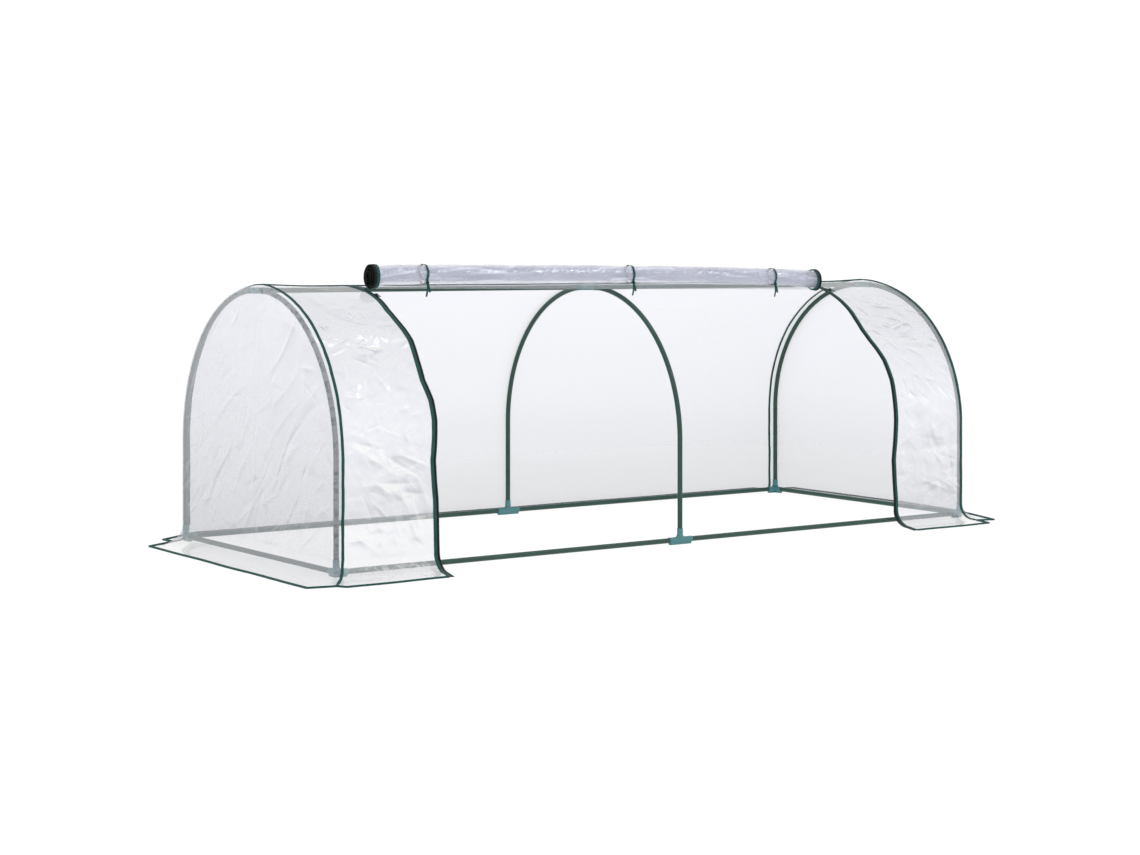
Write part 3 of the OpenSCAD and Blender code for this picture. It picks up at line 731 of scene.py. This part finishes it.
# ------------------------------------------------------------------ end panels
def end_panel(side):
    name = "end_panel_left" if side < 0 else "end_panel_right"
    inset = 0.0095
    r_in = RF - inset
    ncol, nrow = 250, 190
    t = np.linspace(-1, 1, ncol)
    yy = (CROWN + r_in) * np.sin(t * math.pi / 2 * 0.9999)
    ztop = np.where(np.abs(yy) < CROWN, ARC_Z + r_in, ARC_Z + np.sqrt(np.maximum(r_in ** 2 - (np.abs(yy) - CROWN) ** 2, 0)))
    ztop[0] = ztop[-1] = ARC_Z
    q = np.linspace(0, 1, nrow)
    Z = Z_C + (ztop[None, :] - Z_C) * q[:, None]
    Y = np.repeat(yy[None, :], nrow, 0)
    # distance in from the rim
    d_rim = np.minimum(CROWN + r_in - np.abs(Y), np.where(Z > ARC_Z, r_in - np.hypot(np.maximum(np.abs(Y) - CROWN, 0), Z - ARC_Z), 1.0))
    seed = 140 + side
    quiet = 1.0 if side < 0 else 0.12
    h = quiet * 0.0006 * ridged(Y, Z, seed, 5.0, 2, 0.5) + 0.0026 * perlin(Y * 3.6, Z * 3.6, seed + 3)
    h += quiet * creases(Y, Z, seed + 5, 34, (-0.5, 0.5, 0.03, 0.83), (0.08, 0.26), (0.006, 0.014), (0.0005, 0.0015))
    h += quiet * creases(Y, Z, seed + 6, 60, (-0.5, 0.5, 0.03, 0.75), (0.10, 0.36), (0.005, 0.012), (0.0006, 0.0020), angle=(2.62, 0.35))
    h += quiet * creases(Y, Z, seed + 8, 22, (-0.5, 0.5, 0.03, 0.83), (0.08, 0.24), (0.005, 0.010), (0.0005, 0.0014), angle=(0.5, 0.4))
    h += quiet * creases(Y, Z, seed + 7, 40, (-0.45, 0.45, 0.03, 0.34), (0.10, 0.30), (0.006, 0.014), (0.0010, 0.0028), angle=(2.15, 0.45))
    h *= np.clip(d_rim / 0.03, 0, 1) * np.clip((Z - Z_C) / 0.05, 0.15, 1)
    h = np.clip(h, -0.0075, 0.0075)
    X = side * (WALL_X + h)
    P = np.stack([X, Y, Z], -1)
    # painted shade from the wrinkles' slope across the light
    fold_shading = list(fold_shading_of(P, h, 6.5, (0.7, 0.75)).ravel())
    at_rim = np.clip(1 - d_rim / 0.016, 0, 1)
    blot = np.clip(1.6 * perlin(Y * 46 + 3, Z * 46, seed + 40) + 0.9 * perlin(Y * 110, Z * 110 + 7, seed + 41), 0, 1)
    press = list((at_rim * blot).ravel())
    # outline, front foot up over the arch to the rear foot
    out = [(i, 0) for i in range(nrow)] + [(nrow - 1, j) for j in range(1, ncol)] + [(i, ncol - 1) for i in range(nrow - 2, -1, -1)]
    oi = np.array([a * ncol + b_ for a, b_ in out])
    O = P.reshape(-1, 3)[oi]
    cy = np.sign(O[:, 1]) * CROWN
    n2 = np.stack([np.where(np.abs(O[:, 1]) < CROWN, 0, O[:, 1] - cy), np.maximum(O[:, 2] - ARC_Z, 0)], -1)
    n2 = unit(n2)
    ring = []
    for b_ in np.linspace(0, math.pi / 2, 6)[1:]:
        ring.append((inset * math.sin(b_), inset * (1 - math.cos(b_))))
    x_last = WALL_X - inset - np.abs(seam_x(side, O[:, 1]))
    for k in (0.5, 1.0):
        ring.append((inset, inset + x_last * k))
    arc_s = np.clip(np.arctan2(np.abs(O[:, 1]) - CROWN, np.maximum(O[:, 2] - ARC_Z, 1e-6)), 0, None) * RF
    verts = P.reshape(-1, 3).tolist()
    faces = []
    idx = np.arange(nrow * ncol).reshape(nrow, ncol)
    faces += np.stack([idx[:-1, :-1], idx[1:, :-1], idx[1:, 1:], idx[:-1, 1:]], -1).reshape(-1, 4).tolist()
    prev = oi
    rows = []
    for a, b_ in ring:
        base = len(verts)
        up = lift(WALL_X - b_ * np.ones(len(O)), arc_s) * min(1.0, a / inset)
        R = np.stack([side * (WALL_X - b_) * np.ones(len(O)), O[:, 1] + n2[:, 0] * (a + up), O[:, 2] + n2[:, 1] * (a + up)], -1)
        verts += R.tolist()
        w = np.clip(1.4 - b_ / 0.012, 0, 1)
        press += list(w * np.clip(1.6 * perlin(R[:, 1] * 46 + 3, R[:, 2] * 46, seed + 40) + 0.9 * perlin(R[:, 1] * 110, R[:, 2] * 110 + 7, seed + 41), 0, 1))
        cur = np.arange(base, base + len(O))
        faces += np.stack([prev[:-1], cur[:-1], cur[1:], prev[1:]], -1).tolist()
        prev = cur
        rows.append(R)
    # bottom edge: from the front seam round to the rear seam
    ring_idx = [idx[0, 0]] + [nrow * ncol + k * len(O) for k in range(len(ring))]
    ring_end = [idx[0, -1]] + [nrow * ncol + k * len(O) + len(O) - 1 for k in range(len(ring))]
    bottom = ring_idx[::-1] + list(idx[0, 1:-1]) + ring_end
    V = np.array(verts)
    B = V[bottom]
    nb = len(ring_idx)
    foot, ef, er, rf = (np.array(HEM[k][side]) for k in ("seam_foot", "end_front", "end_rear", "rear_foot"))
    H = np.zeros((len(B), 2))
    for i in range(nb):
        H[i] = foot + (ef - foot) * (i / (nb - 1))
        H[-1 - i] = rf + (er - rf) * (i / (nb - 1))
    ym = B[nb - 1:len(B) - nb + 1, 1]
    kk = (ym - ym[0]) / (ym[-1] - ym[0])
    mid_p = (ef + er) / 2 if side < 0 else np.array([1.362, -0.36])
    mid_k = 0.5 if side < 0 else 0.24
    end_p = er if side < 0 else np.array([1.392, -0.05])
    end_k = 1.0 if side < 0 else 0.55
    H[nb - 1:len(B) - nb + 1] = np.column_stack([np.interp(kk, sorted({0, mid_k, end_k, 1.0}), [ef[c], mid_p[c]] + ([er[c]] if side < 0 else [end_p[c], er[c]])) for c in (0, 1)])
    H[nb - 1:len(B) - nb + 1, 0] += side * 0.002 * np.sin(kk * 17) * np.sin(np.pi * kk)
    K = skirt(B, H, 80 + side)
    prev = np.array(bottom)
    fs = len(faces)
    for R in K:
        base = len(verts)
        verts += R.tolist()
        cur = np.arange(base, base + len(B))
        faces += np.stack([prev[:-1], prev[1:], cur[1:], cur[:-1]], -1).tolist()
        prev = cur
    if side > 0:
        faces = [f_[::-1] for f_ in faces]
    me = bpy.data.meshes.new(name)
    me.from_pydata(verts, [], faces)
    put_fold_shading(me, fold_shading + [0.0] * (len(verts) - len(fold_shading)))
    put_press(me, press + [0.0] * (len(verts) - len(press)))
    me.polygons.foreach_set("use_smooth", np.ones(len(me.polygons), bool))
    mi = np.zeros(len(faces), np.int32)
    mi[fs + 6 * (len(B) - 1):] = 1
    me.polygons.foreach_set("material_index", mi)
    me.update()
    o = link(name, me, [m_film_end if side < 0 else m_film_rear, m_film_skirt])
    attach(o, "root")
    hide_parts(name)
    return o, H, K


ends = {}
for side in (-1, 1):
    ends[side] = end_panel(side)

# ------------------------------------------------------------------ bindings
pieces_on = {}


def bind(name, objs, node):
    o = join(name, objs)
    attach(o, "root")
    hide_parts(node)
    return o


def resample(P, step):
    P = np.asarray(P, float)
    d = np.concatenate([[0], np.cumsum(np.linalg.norm(np.diff(P, axis=0), axis=1))])
    k = max(3, int(d[-1] / step) + 1)
    t = np.linspace(0, d[-1], k)
    return np.column_stack([np.interp(t, d, P[:, i]) for i in range(3)])


def hem(name, H, inset=0.003):
    P = np.column_stack([H, np.full(len(H), FILM_Z - 0.0006)])
    P = resample(P, 0.006)
    n = np.tile([0, 0, 1.0], (len(P), 1))
    return sweep(name, P, n, 0.009, 0.0044, m_bind, wob=0.10, seed=len(name), below=0.0006)


P = front[-1][1]
H = P[-1][:, :2]
h_fl = bind("hem_front_left", [hem("h1", H)], "hem_front_left")
P = front[1][1]
h_fr = bind("hem_front_right", [hem("h2", P[-1][:, :2])], "hem_front_right")
h_r = bind("hem_rear", [hem("h3", P_rear[-1][:, :2])], "hem_rear")
h_el = bind("hem_end_left", [hem("h4", ends[-1][2][-1][:, :2])], "hem_end_left")
h_er = bind("hem_end_right", [hem("h5", ends[1][2][-1][:, :2])], "hem_end_right")


def side_curve(x_of_z, sgn, s0=0.0, of_y=False):
    """A line down the wall at x_of_z(z), with its normals."""
    s = np.linspace(s0, S_WALL, 220)
    y, z, ny, nz = wall_profile(s)
    xx = x_of_z(sgn * y) if of_y else x_of_z(z)
    up = lift(xx, s)
    P = np.column_stack([xx, sgn * (y + ny * up), z + nz * up])
    n = np.column_stack([np.zeros_like(y), sgn * ny, nz])
    return P, n


def skirt_curve(Bp, Hp):
    K = skirt(np.array([Bp, Bp]), np.array([Hp, Hp]), 1, ripple=0.0)[:, 0]
    d = unit(np.append(np.array(Hp) - np.array(Bp[:2]), 0.0))
    b_, f_ = skirt_rows()
    nrm = [d * math.cos(t) + np.array([0, 0, 1]) * math.sin(t) for t in b_] + [np.array([0, 0, 1.0])] * len(f_)
    return K, np.array(nrm)


def end_seam(side):
    name = "end_seam_left" if side < 0 else "end_seam_right"
    Pf, nf = side_curve(lambda y: seam_x(side, y), -1, of_y=True)
    Pr, nr = side_curve(lambda y: seam_x(side, y), 1, of_y=True)
    Kf, kf = skirt_curve(Pf[-1], HEM["seam_foot"][side])
    Kr, kr = skirt_curve(Pr[-1], HEM["rear_foot"][side])
    P = np.concatenate([Kf[::-1], Pf[::-1], Pr[1:], Kr])
    n = np.concatenate([kf[::-1], nf[::-1], nr[1:], kr])
    d = np.concatenate([[0], np.cumsum(np.linalg.norm(np.diff(P, axis=0), axis=1))])
    t = np.arange(0, d[-1], 0.006)
    P = np.column_stack([np.interp(t, d, P[:, i]) for i in range(3)])
    n = np.column_stack([np.interp(t, d, n[:, i]) for i in range(3)])
    sd = 3 + side
    P[:, 0] += 0.0012 * perlin(t * 11, t * 0 + 0.5, sd) + 0.0006 * perlin(t * 40, t * 0 + 0.5, sd + 1)
    tape = sweep(name, P, n, 0.0082, 0.0030, m_bind, lift=0.0002, wob=0.12, seed=sd, below=0.0005)
    return bind(name, [tape], name)


es = {side: end_seam(side) for side in (-1, 1)}

t = np.linspace(SEAM[-1] + 0.004, SEAM[1] - 0.004, 420)
P = np.column_stack([t, 0.0009 * perlin(t * 7, t * 0, 3), ARC_Z + RF + 0.0003 + lift(t, 0 * t) + 0.0004 * perlin(t * 9, t * 0 + 4, 8)])
ridge = bind("ridge_seam", [sweep("ridge_seam", P, np.tile([0, 0, 1.0], (len(P), 1)), 0.0085, 0.0036, m_bind, wob=0.10, seed=9, below=0.0006)], "ridge_seam")


def teeth(name, P, n, side_vec, pitch=0.0034):
    """Small coil teeth along a tape's edge."""
    d = np.concatenate([[0], np.cumsum(np.linalg.norm(np.diff(P, axis=0), axis=1))])
    t = np.arange(pitch, d[-1] - pitch, pitch)
    C = np.column_stack([np.interp(t, d, P[:, i]) for i in range(3)])
    nn = unit(np.column_stack([np.interp(t, d, n[:, i]) for i in range(3)]))
    T = unit(np.gradient(C, axis=0))
    S = unit(np.cross(T, nn)) * side_vec
    a, w, h_ = pitch * 0.30, 0.0021, 0.0011
    sec = [(-1, 0), (-0.7, 0.8), (0.7, 1.0), (1.0, 0.35), (1.0, -0.35), (0.0, -0.4)]
    verts, faces = [], []
    k = len(sec)
    for i in range(len(C)):
        base = len(verts)
        for e_ in (-1, 1):
            for (u, v) in sec:
                verts.append((C[i] + S[i] * (u * w) + nn[i] * (v * h_) + T[i] * (e_ * a * (1 if abs(u) < 0.9 else 0.6))).tolist())
        for j in range(k):
            j2 = (j + 1) % k
            faces.append((base + j, base + j2, base + k + j2, base + k + j))
        faces.append(tuple(base + j for j in range(k - 1, -1, -1)))
        faces.append(tuple(base + k + j for j in range(k)))
    me = bpy.data.meshes.new(name)
    me.from_pydata(verts, [], faces)
    me.update()
    return link(name, me, m_teeth)


def door_side(side):
    sfx = "left" if side < 0 else "right"
    zipf = np.array(HEM["front_zip"][side])

    def line(off):
        P, n = side_curve(lambda z: door_edge(side, z) + side * off, -1, 0.006)
        K, k = skirt_curve(P[-1], zipf + np.array([side * off, 0.0]))
        P, n = np.concatenate([P, K]), np.concatenate([n, k])
        d = np.concatenate([[0], np.cumsum(np.linalg.norm(np.diff(P, axis=0), axis=1))])
        t = np.arange(0, d[-1], 0.006)
        return np.column_stack([np.interp(t, d, P[:, i]) for i in range(3)]), unit(np.column_stack([np.interp(t, d, n[:, i]) for i in range(3)]))

    P, n = line(0.0135)
    lap = sweep("lap", P, n, 0.0105, 0.0022, m_bind, lift=0.0002, wob=0.07, seed=13 + side, below=0.0004)
    b1 = bind("door_edge_binding_" + sfx, [lap], "door_edge_binding_" + sfx)
    P, n = line(0.0048)
    tape = sweep("tape", P, n, 0.0092, 0.0016, m_zip, lift=-0.0002, wob=0.03, seed=19 + side, below=0.0006)
    P2, n2 = line(0.0010)
    tt = teeth("teeth", P2 + n2 * 0.0006, n2, 1.0 if side < 0 else -1.0)
    b2 = bind("zip_tape_" + sfx, [tape, tt], "zip_tape_" + sfx)
    return b1, b2


door_edges = {side: door_side(side) for side in (-1, 1)}

# ------------------------------------------------------------------ the rolled door
# the roll's axis, from the frame: its two rolled zip ends
lo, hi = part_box("door_zip_left")
A0 = np.array([-0.915, (lo.y + hi.y) / 2, (lo.z + hi.z) / 2])
lo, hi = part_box("door_zip_right")
A1 = np.array([0.845, (lo.y + hi.y) / 2, (lo.z + hi.z) / 2])
AX = A1 - A0
AL = float(np.linalg.norm(AX))
ax = AX / AL
th = math.radians(15)
e_out = np.array([0, -math.sin(th), math.cos(th)])
e_out = unit(e_out - ax * (e_out @ ax))
e_dn = np.cross(ax, e_out)
if e_dn[1] > 0:
    e_dn = -e_dn
TIES = [-0.716, 0.068, 0.656]
tie_t = [(x_ - A0[0]) / AX[0] * AL for x_ in TIES]
R_CLEAR = 0.037


SAG = 0.0004


def axis_at(t):
    """The roll's axis: straight in the frame, here bowed a little up the slope between its ends."""
    t = np.asarray(t, float)
    x_ = np.clip(t / AL, 0, 1)
    bow = np.interp(x_, [0, 0.05, 0.12, 0.30, 0.57, 0.75, 0.91, 0.97, 1.0], [0, 0.008, 0.017, 0.022, 0.022, 0.018, 0.009, 0.002, 0.0])
    th_ = np.radians(np.interp(x_, [0, 1], [11.0, 19.0]))
    d_ = np.stack([np.zeros_like(th_), np.cos(th_), np.sin(th_)], -1)
    up_ = np.interp(x_, [0, 0.018, 0.04, 0.35, 0.7, 0.93, 0.975, 1.0], [0, 0.001, 0.0050, 0.0070, 0.0076, 0.0054, 0.0016, -0.0012])
    return A0 + ax * t[..., None] + d_ * bow[..., None] + e_out * (up_ - SAG)[..., None]


def roll_radius(t):
    r_ = np.interp(t, [0, 0.021, 0.045, 0.6, 1.2, AL - 0.12, AL - 0.04, AL], [0.0405, 0.0396, 0.0345, 0.0335, 0.0330, 0.0322, 0.0352, 0.0398])
    for tt in tie_t:
        r_ = r_ * (1 - 0.085 * np.exp(-((t - tt) / 0.020) ** 2) - 0.03 * np.exp(-((t - tt) / 0.06) ** 2))
    return r_


def roll_folds(t, arc):
    """Lengthwise creases of the outer turns."""
    w_ = 2 * math.pi * 0.037
    h_ = creases(t, arc, 611, 90, (0, AL, 0, w_), (0.06, 0.30), (0.0016, 0.0045), (0.0006, 0.0017), angle=(0.0, 0.10))
    h_ += creases(t, arc, 612, 110, (0, AL, 0.07, 0.15), (0.02, 0.07), (0.0016, 0.004), (0.0006, 0.0018), angle=(0.0, 0.5))
    return h_ * np.sin(np.clip(arc / w_, 0, 1) * math.pi) ** 0.5


def roll_shape(t, a, r_frac, seed=5):
    """Points of the roll: t along the axis, a the angle from the underside towards the door side, r_frac the share of the outer radius."""
    R = roll_radius(t)
    puck = np.zeros_like(t)
    for tt in tie_t:
        puck += np.exp(-((t - tt) / 0.035) ** 2) * 0.0011 * np.cos(9 * a + tt * 7) * np.clip(np.abs(t - tt) / 0.012, 0, 1)
    lump = 0.0012 * perlin(t * 9, 1.2 * np.cos(a) + 4, seed) + 0.0011 * perlin(t * 26, 2.4 * np.sin(a) + 9, seed + 1) + 0.0008 * perlin(t * 60 + np.sin(a), 5 * np.cos(a), seed + 2)
    arc = (a % (2 * math.pi)) * 0.037
    fo = roll_folds(t, arc) * np.clip((r_frac - 0.5) * 4, 0, 1)
    r_ = (R + lump + puck + fo - 0.0012) * r_frac
    # sagged a little, and flattened where it rests on the cover
    limit = (R_CLEAR - 0.0004 - SAG) * r_frac ** 0.3
    cs = np.clip(np.cos(a), 0.25, 1)
    r_ = np.where(np.cos(a) > 0.25, np.minimum(r_, limit / cs), r_)
    # the inner turns have slipped towards the middle at the right, and out at the left
    slip = np.clip((0.97 - r_frac) / 0.7, 0, 1)
    tt_ = t - 0.0065 * slip * np.clip(1 - t / 0.05, 0, 1) - 0.020 * slip * np.clip((t - AL + 0.06) / 0.06, 0, 1)
    c = axis_at(tt_)
    return c - e_out * (np.cos(a) * r_)[..., None] + e_dn * (np.sin(a) * r_)[..., None]


TURNS = 6.6
R_CORE = 0.20


def spiral(name, t, per_turn, mats, turns=TURNS, mat_of_col=None, core=R_CORE, seed=5):
    na = int(turns * per_turn) + 1
    a = np.linspace(0, turns * 2 * math.pi, na)
    T, Aa = np.meshgrid(t, a)
    w = Aa / (turns * 2 * math.pi)
    # turns lie in pairs with an open gap between them
    frac = 1 - (1 - core) * w - 0.050 * np.sin(Aa / 2 + 0.9) * np.clip(w * 9, 0, 1) * np.clip((1 - w) * 4, 0, 1)
    P = roll_shape(T, Aa, frac, seed)
    uv = np.stack([Aa * 0.025, T], -1)
    fo = roll_folds(T, (Aa % (2 * math.pi)) * 0.037)
    # painted shade from the slope of the lengthwise creases
    fold_shading = np.clip(9.0 * np.gradient(fo, axis=0) / 0.006, -1, 1)
    # short painted glints along the outer turn, where the light's reflection falls
    if mat_of_col is None:
        gl = np.clip(ridged(T, Aa * 0.037, 77, 26.0, 3) * 2.4 - 0.45, 0, 1.6) * np.clip(0.5 + 2.0 * perlin(T * 6.0, Aa * 0.2, 78), 0, 1)
        fold_shading = fold_shading + gl * np.exp(-((Aa - 2.15) / 0.17) ** 2)
    # the outer turns are single clear film at the right end
    thin = np.clip((T - AL + 0.075) / 0.02, 0, 1) * np.clip(1.3 - Aa / (2 * math.pi), 0, 1)
    mo = None
    if mat_of_col is not None:
        mo = np.repeat(mat_of_col[None, :], na - 1, 0)
    return grid(name, P, mats, uv=uv, mat_of=mo, fold_shading=fold_shading, press=thin * 1.2)


t_film = np.linspace(0.020, AL - 0.016, 215)
roll = spiral("door_roll", t_film, 36, [m_film_roll])
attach(roll, "door_roll")
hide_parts("door_roll")

# rolled edge on the left: zip tape at the very end, green binding beside it
t_l = np.concatenate([np.linspace(0, 0.0085, 4), np.linspace(0.0095, 0.0205, 4)])
zl = spiral("door_zip_left", t_l, 40, [m_zip, m_bind], mat_of_col=np.array([0, 0, 0, 0, 1, 1, 1]))
mod = zl.modifiers.new("thick", "SOLIDIFY")
mod.thickness = 0.0011
mod.offset = -1
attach(zl, "door_roll")
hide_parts("door_zip_left")
t_r = np.concatenate([np.linspace(AL - 0.0165, AL - 0.008, 4), np.linspace(AL - 0.0072, AL, 3)])
zr = spiral("door_zip_right", t_r, 40, [m_zip, m_bind], mat_of_col=np.array([1, 1, 1, 0, 0, 0]))
mod = zr.modifiers.new("thick", "SOLIDIFY")
mod.thickness = 0.0012
mod.offset = -1
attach(zr, "door_roll")
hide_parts("door_zip_right")


# ties: a ribbon loop, a knot in front below the roll, two tails
def tie(name, tt, seed):
    rs = np.random.RandomState(seed)
    a = np.linspace(0.35, 2 * math.pi - 0.05, 90) + 0.1
    T = np.full_like(a, tt)
    P0 = roll_shape(T, a, np.ones_like(a), 5)
    c = axis_at(np.array(tt))
    n = unit(P0 - c)
    P = P0 + n * 0.0007
    r_here = float(np.linalg.norm(P[len(P) // 4] - c))
    knot = c + np.array([0.002, -0.66 * r_here - 0.001, -0.80 * r_here - 0.0035])
    # the loop closes at the knot
    ka = math.atan2((knot - c) @ e_dn, -((knot - c) @ e_out))
    a2 = np.linspace(ka + 0.30, ka + 2 * math.pi - 0.30, 100)
    P0 = roll_shape(np.full_like(a2, tt), a2, np.ones_like(a2), 5)
    n = unit(P0 - c)
    P = np.concatenate([[knot + np.array([0.0015, 0.001, 0.001])], P0 + n * 0.0008, [knot + np.array([-0.0015, 0.002, 0.001])]])
    nn = np.concatenate([[n[0]], n, [n[-1]]])
    loop = sweep(name, P, nn, 0.0078, 0.0009, m_ribbon, wob=0.10, seed=seed)
    parts = [loop]
    # the tie's second turn runs slanted round the roll, pale with the film's glare painted into its colour
    ang = np.degrees(np.arctan2(n[:, 2], -n[:, 1]))
    near = (ang > -52) & (ang < 96)
    a3, w3 = a2[near], np.sin(np.pi * np.clip((ang[near] + 52) / 148, 0, 1))
    t3 = tt - 0.036 * w3
    P3 = roll_shape(t3, a3, np.ones_like(a3), 5)
    c3 = np.array([axis_at(np.array(v_)) for v_ in t3])
    n3 = unit(P3 - c3)
    parts.append(sweep(f"{name}_s", P3 + n3 * 0.0009, n3, 0.0022, 0.0007, m_tie_painted_glare))
    # knot: two short wraps across each other
    for k, (tilt, rad) in enumerate(((0.35, 0.0046), (-0.5, 0.0040))):
        b_ = np.linspace(0, 2 * math.pi, 26)
        axis = np.array([math.cos(tilt), 0.0, math.sin(tilt)])
        u = unit(np.cross(axis, [0, 1, 0]))
        v = np.cross(axis, u)
        Q = knot + (np.cos(b_) * rad)[:, None] * u + (np.sin(b_) * rad * 0.75)[:, None] * v + axis * (0.0012 * np.sin(b_))[:, None]
        parts.append(sweep(f"{name}_k{k}", Q, Q - knot, 0.0075, 0.0010, m_ribbon))
    for k, (ang, ln, curl) in enumerate(((-0.16, 0.044, 0.5), (0.20, 0.030, -0.4))):
        q = np.linspace(0, 1, 22)
        dx = math.sin(ang) * q * ln + 0.002 * curl * np.sin(q * 3.0)
        Q = knot + np.column_stack([dx, -0.0035 * np.sin(q * 2.2) - 0.001 * k, -q * ln * math.cos(ang)])
        tw = 0.5 * curl * q
        Nn = np.column_stack([np.sin(tw), -np.cos(tw), np.full_like(q, 0.1)])
        wd = 0.0072 * (1 - 0.22 * np.clip(1 - q / 0.2, 0, 1))
        parts.append(sweep(f"{name}_t{k}", Q, Nn, wd, 0.0008, m_ribbon))
    o = join(name, parts)
    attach(o, "door_roll")
    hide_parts(name)
    return o


ties = [tie(n_, tt, 200 + i) for i, (n_, tt) in enumerate(zip(("tie_left", "tie_mid", "tie_right"), tie_t))]


def roll_theta(x_):
    """Angle of the roll above x, in front of the crown."""
    return np.interp(x_, [A0[0], A1[0]], [11.0, 19.0])


x_d = np.concatenate([[-0.9243, -0.9205, -0.9167], [-0.9115, -0.9062], np.linspace(-0.90, 0.90, 190), [0.9062, 0.9115], [0.9167, 0.9205, 0.9243]])
mat_col = np.array([1, 1, 2, 2] + [0] * (len(x_d) - 9) + [2, 2, 1, 1])
end_th = roll_theta(x_d) - 1.0
nr_ = 46
f = np.linspace(0, 1, nr_)
TH = 0.75 + (end_th[None, :] - 0.75) * f[:, None]
Xg = np.repeat(x_d[None, :], nr_, 0)
hh = 0.0010 * perlin(Xg * 8, TH * 0.25, 301) + 0.0006 * ridged(Xg, TH * 0.01, 303, 12.0, 2)
hh = np.clip(hh, -0.0004, 0.0011) * np.sin(np.pi * np.clip(f, 0, 1))[:, None]
a = np.radians(TH)
rr_ = RF + 0.0002 + hh
P = np.stack([Xg, -CROWN - rr_ * np.sin(a), ARC_Z + rr_ * np.cos(a)], -1)
mo = np.repeat(mat_col[None, :], nr_ - 1, 0)
flap = grid("door_flap", P, [m_film_flap, m_zip, m_bind], uv=np.stack([Xg, TH * 0.0086], -1), mat_of=mo)
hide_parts("door_flap")
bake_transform(flap)

# from the flap's lower edge to where the roll takes it up
g = P[-1]
c_line = axis_at(np.clip((g - A0) @ ax, 0, AL))
r_t = np.minimum(roll_radius(np.clip((g - A0) @ ax, 0, AL)), R_CLEAR)
touch = c_line - e_out * (r_t - 0.0006)[:, None]
touch[:, 0] = g[:, 0]
f2 = np.linspace(0, 1, 20)
P2 = g[None] + (touch - g)[None] * f2[:, None, None]
mo2 = np.repeat(mat_col[None, :], len(f2) - 1, 0)
drop = grid("door_drop", P2, [m_film_flap, m_zip, m_bind], uv=np.stack([np.repeat(x_d[None], 20, 0), np.repeat(f2[:, None] * 0.3, len(x_d), 1)], -1), mat_of=mo2)
d0, d1 = g.mean(0), touch.mean(0)
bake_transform(drop)

# ------------------------------------------------------------------ materials on the CAD pieces that show
for n_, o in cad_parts.items():
    if n_.startswith(("hoop", "ridge_tube", "rail")):
        m_ = m_tube
    elif n_.startswith(("corner", "base_tee", "ridge_tee", "ridge_cross")):
        m_ = m_conn
    elif n_.startswith(("zip_slider", "zip_pull")):
        m_ = m_metal
    else:
        continue
    if o.material_slots:
        for sl in o.material_slots:
            sl.material = m_
    else:
        o.data.materials.append(m_)
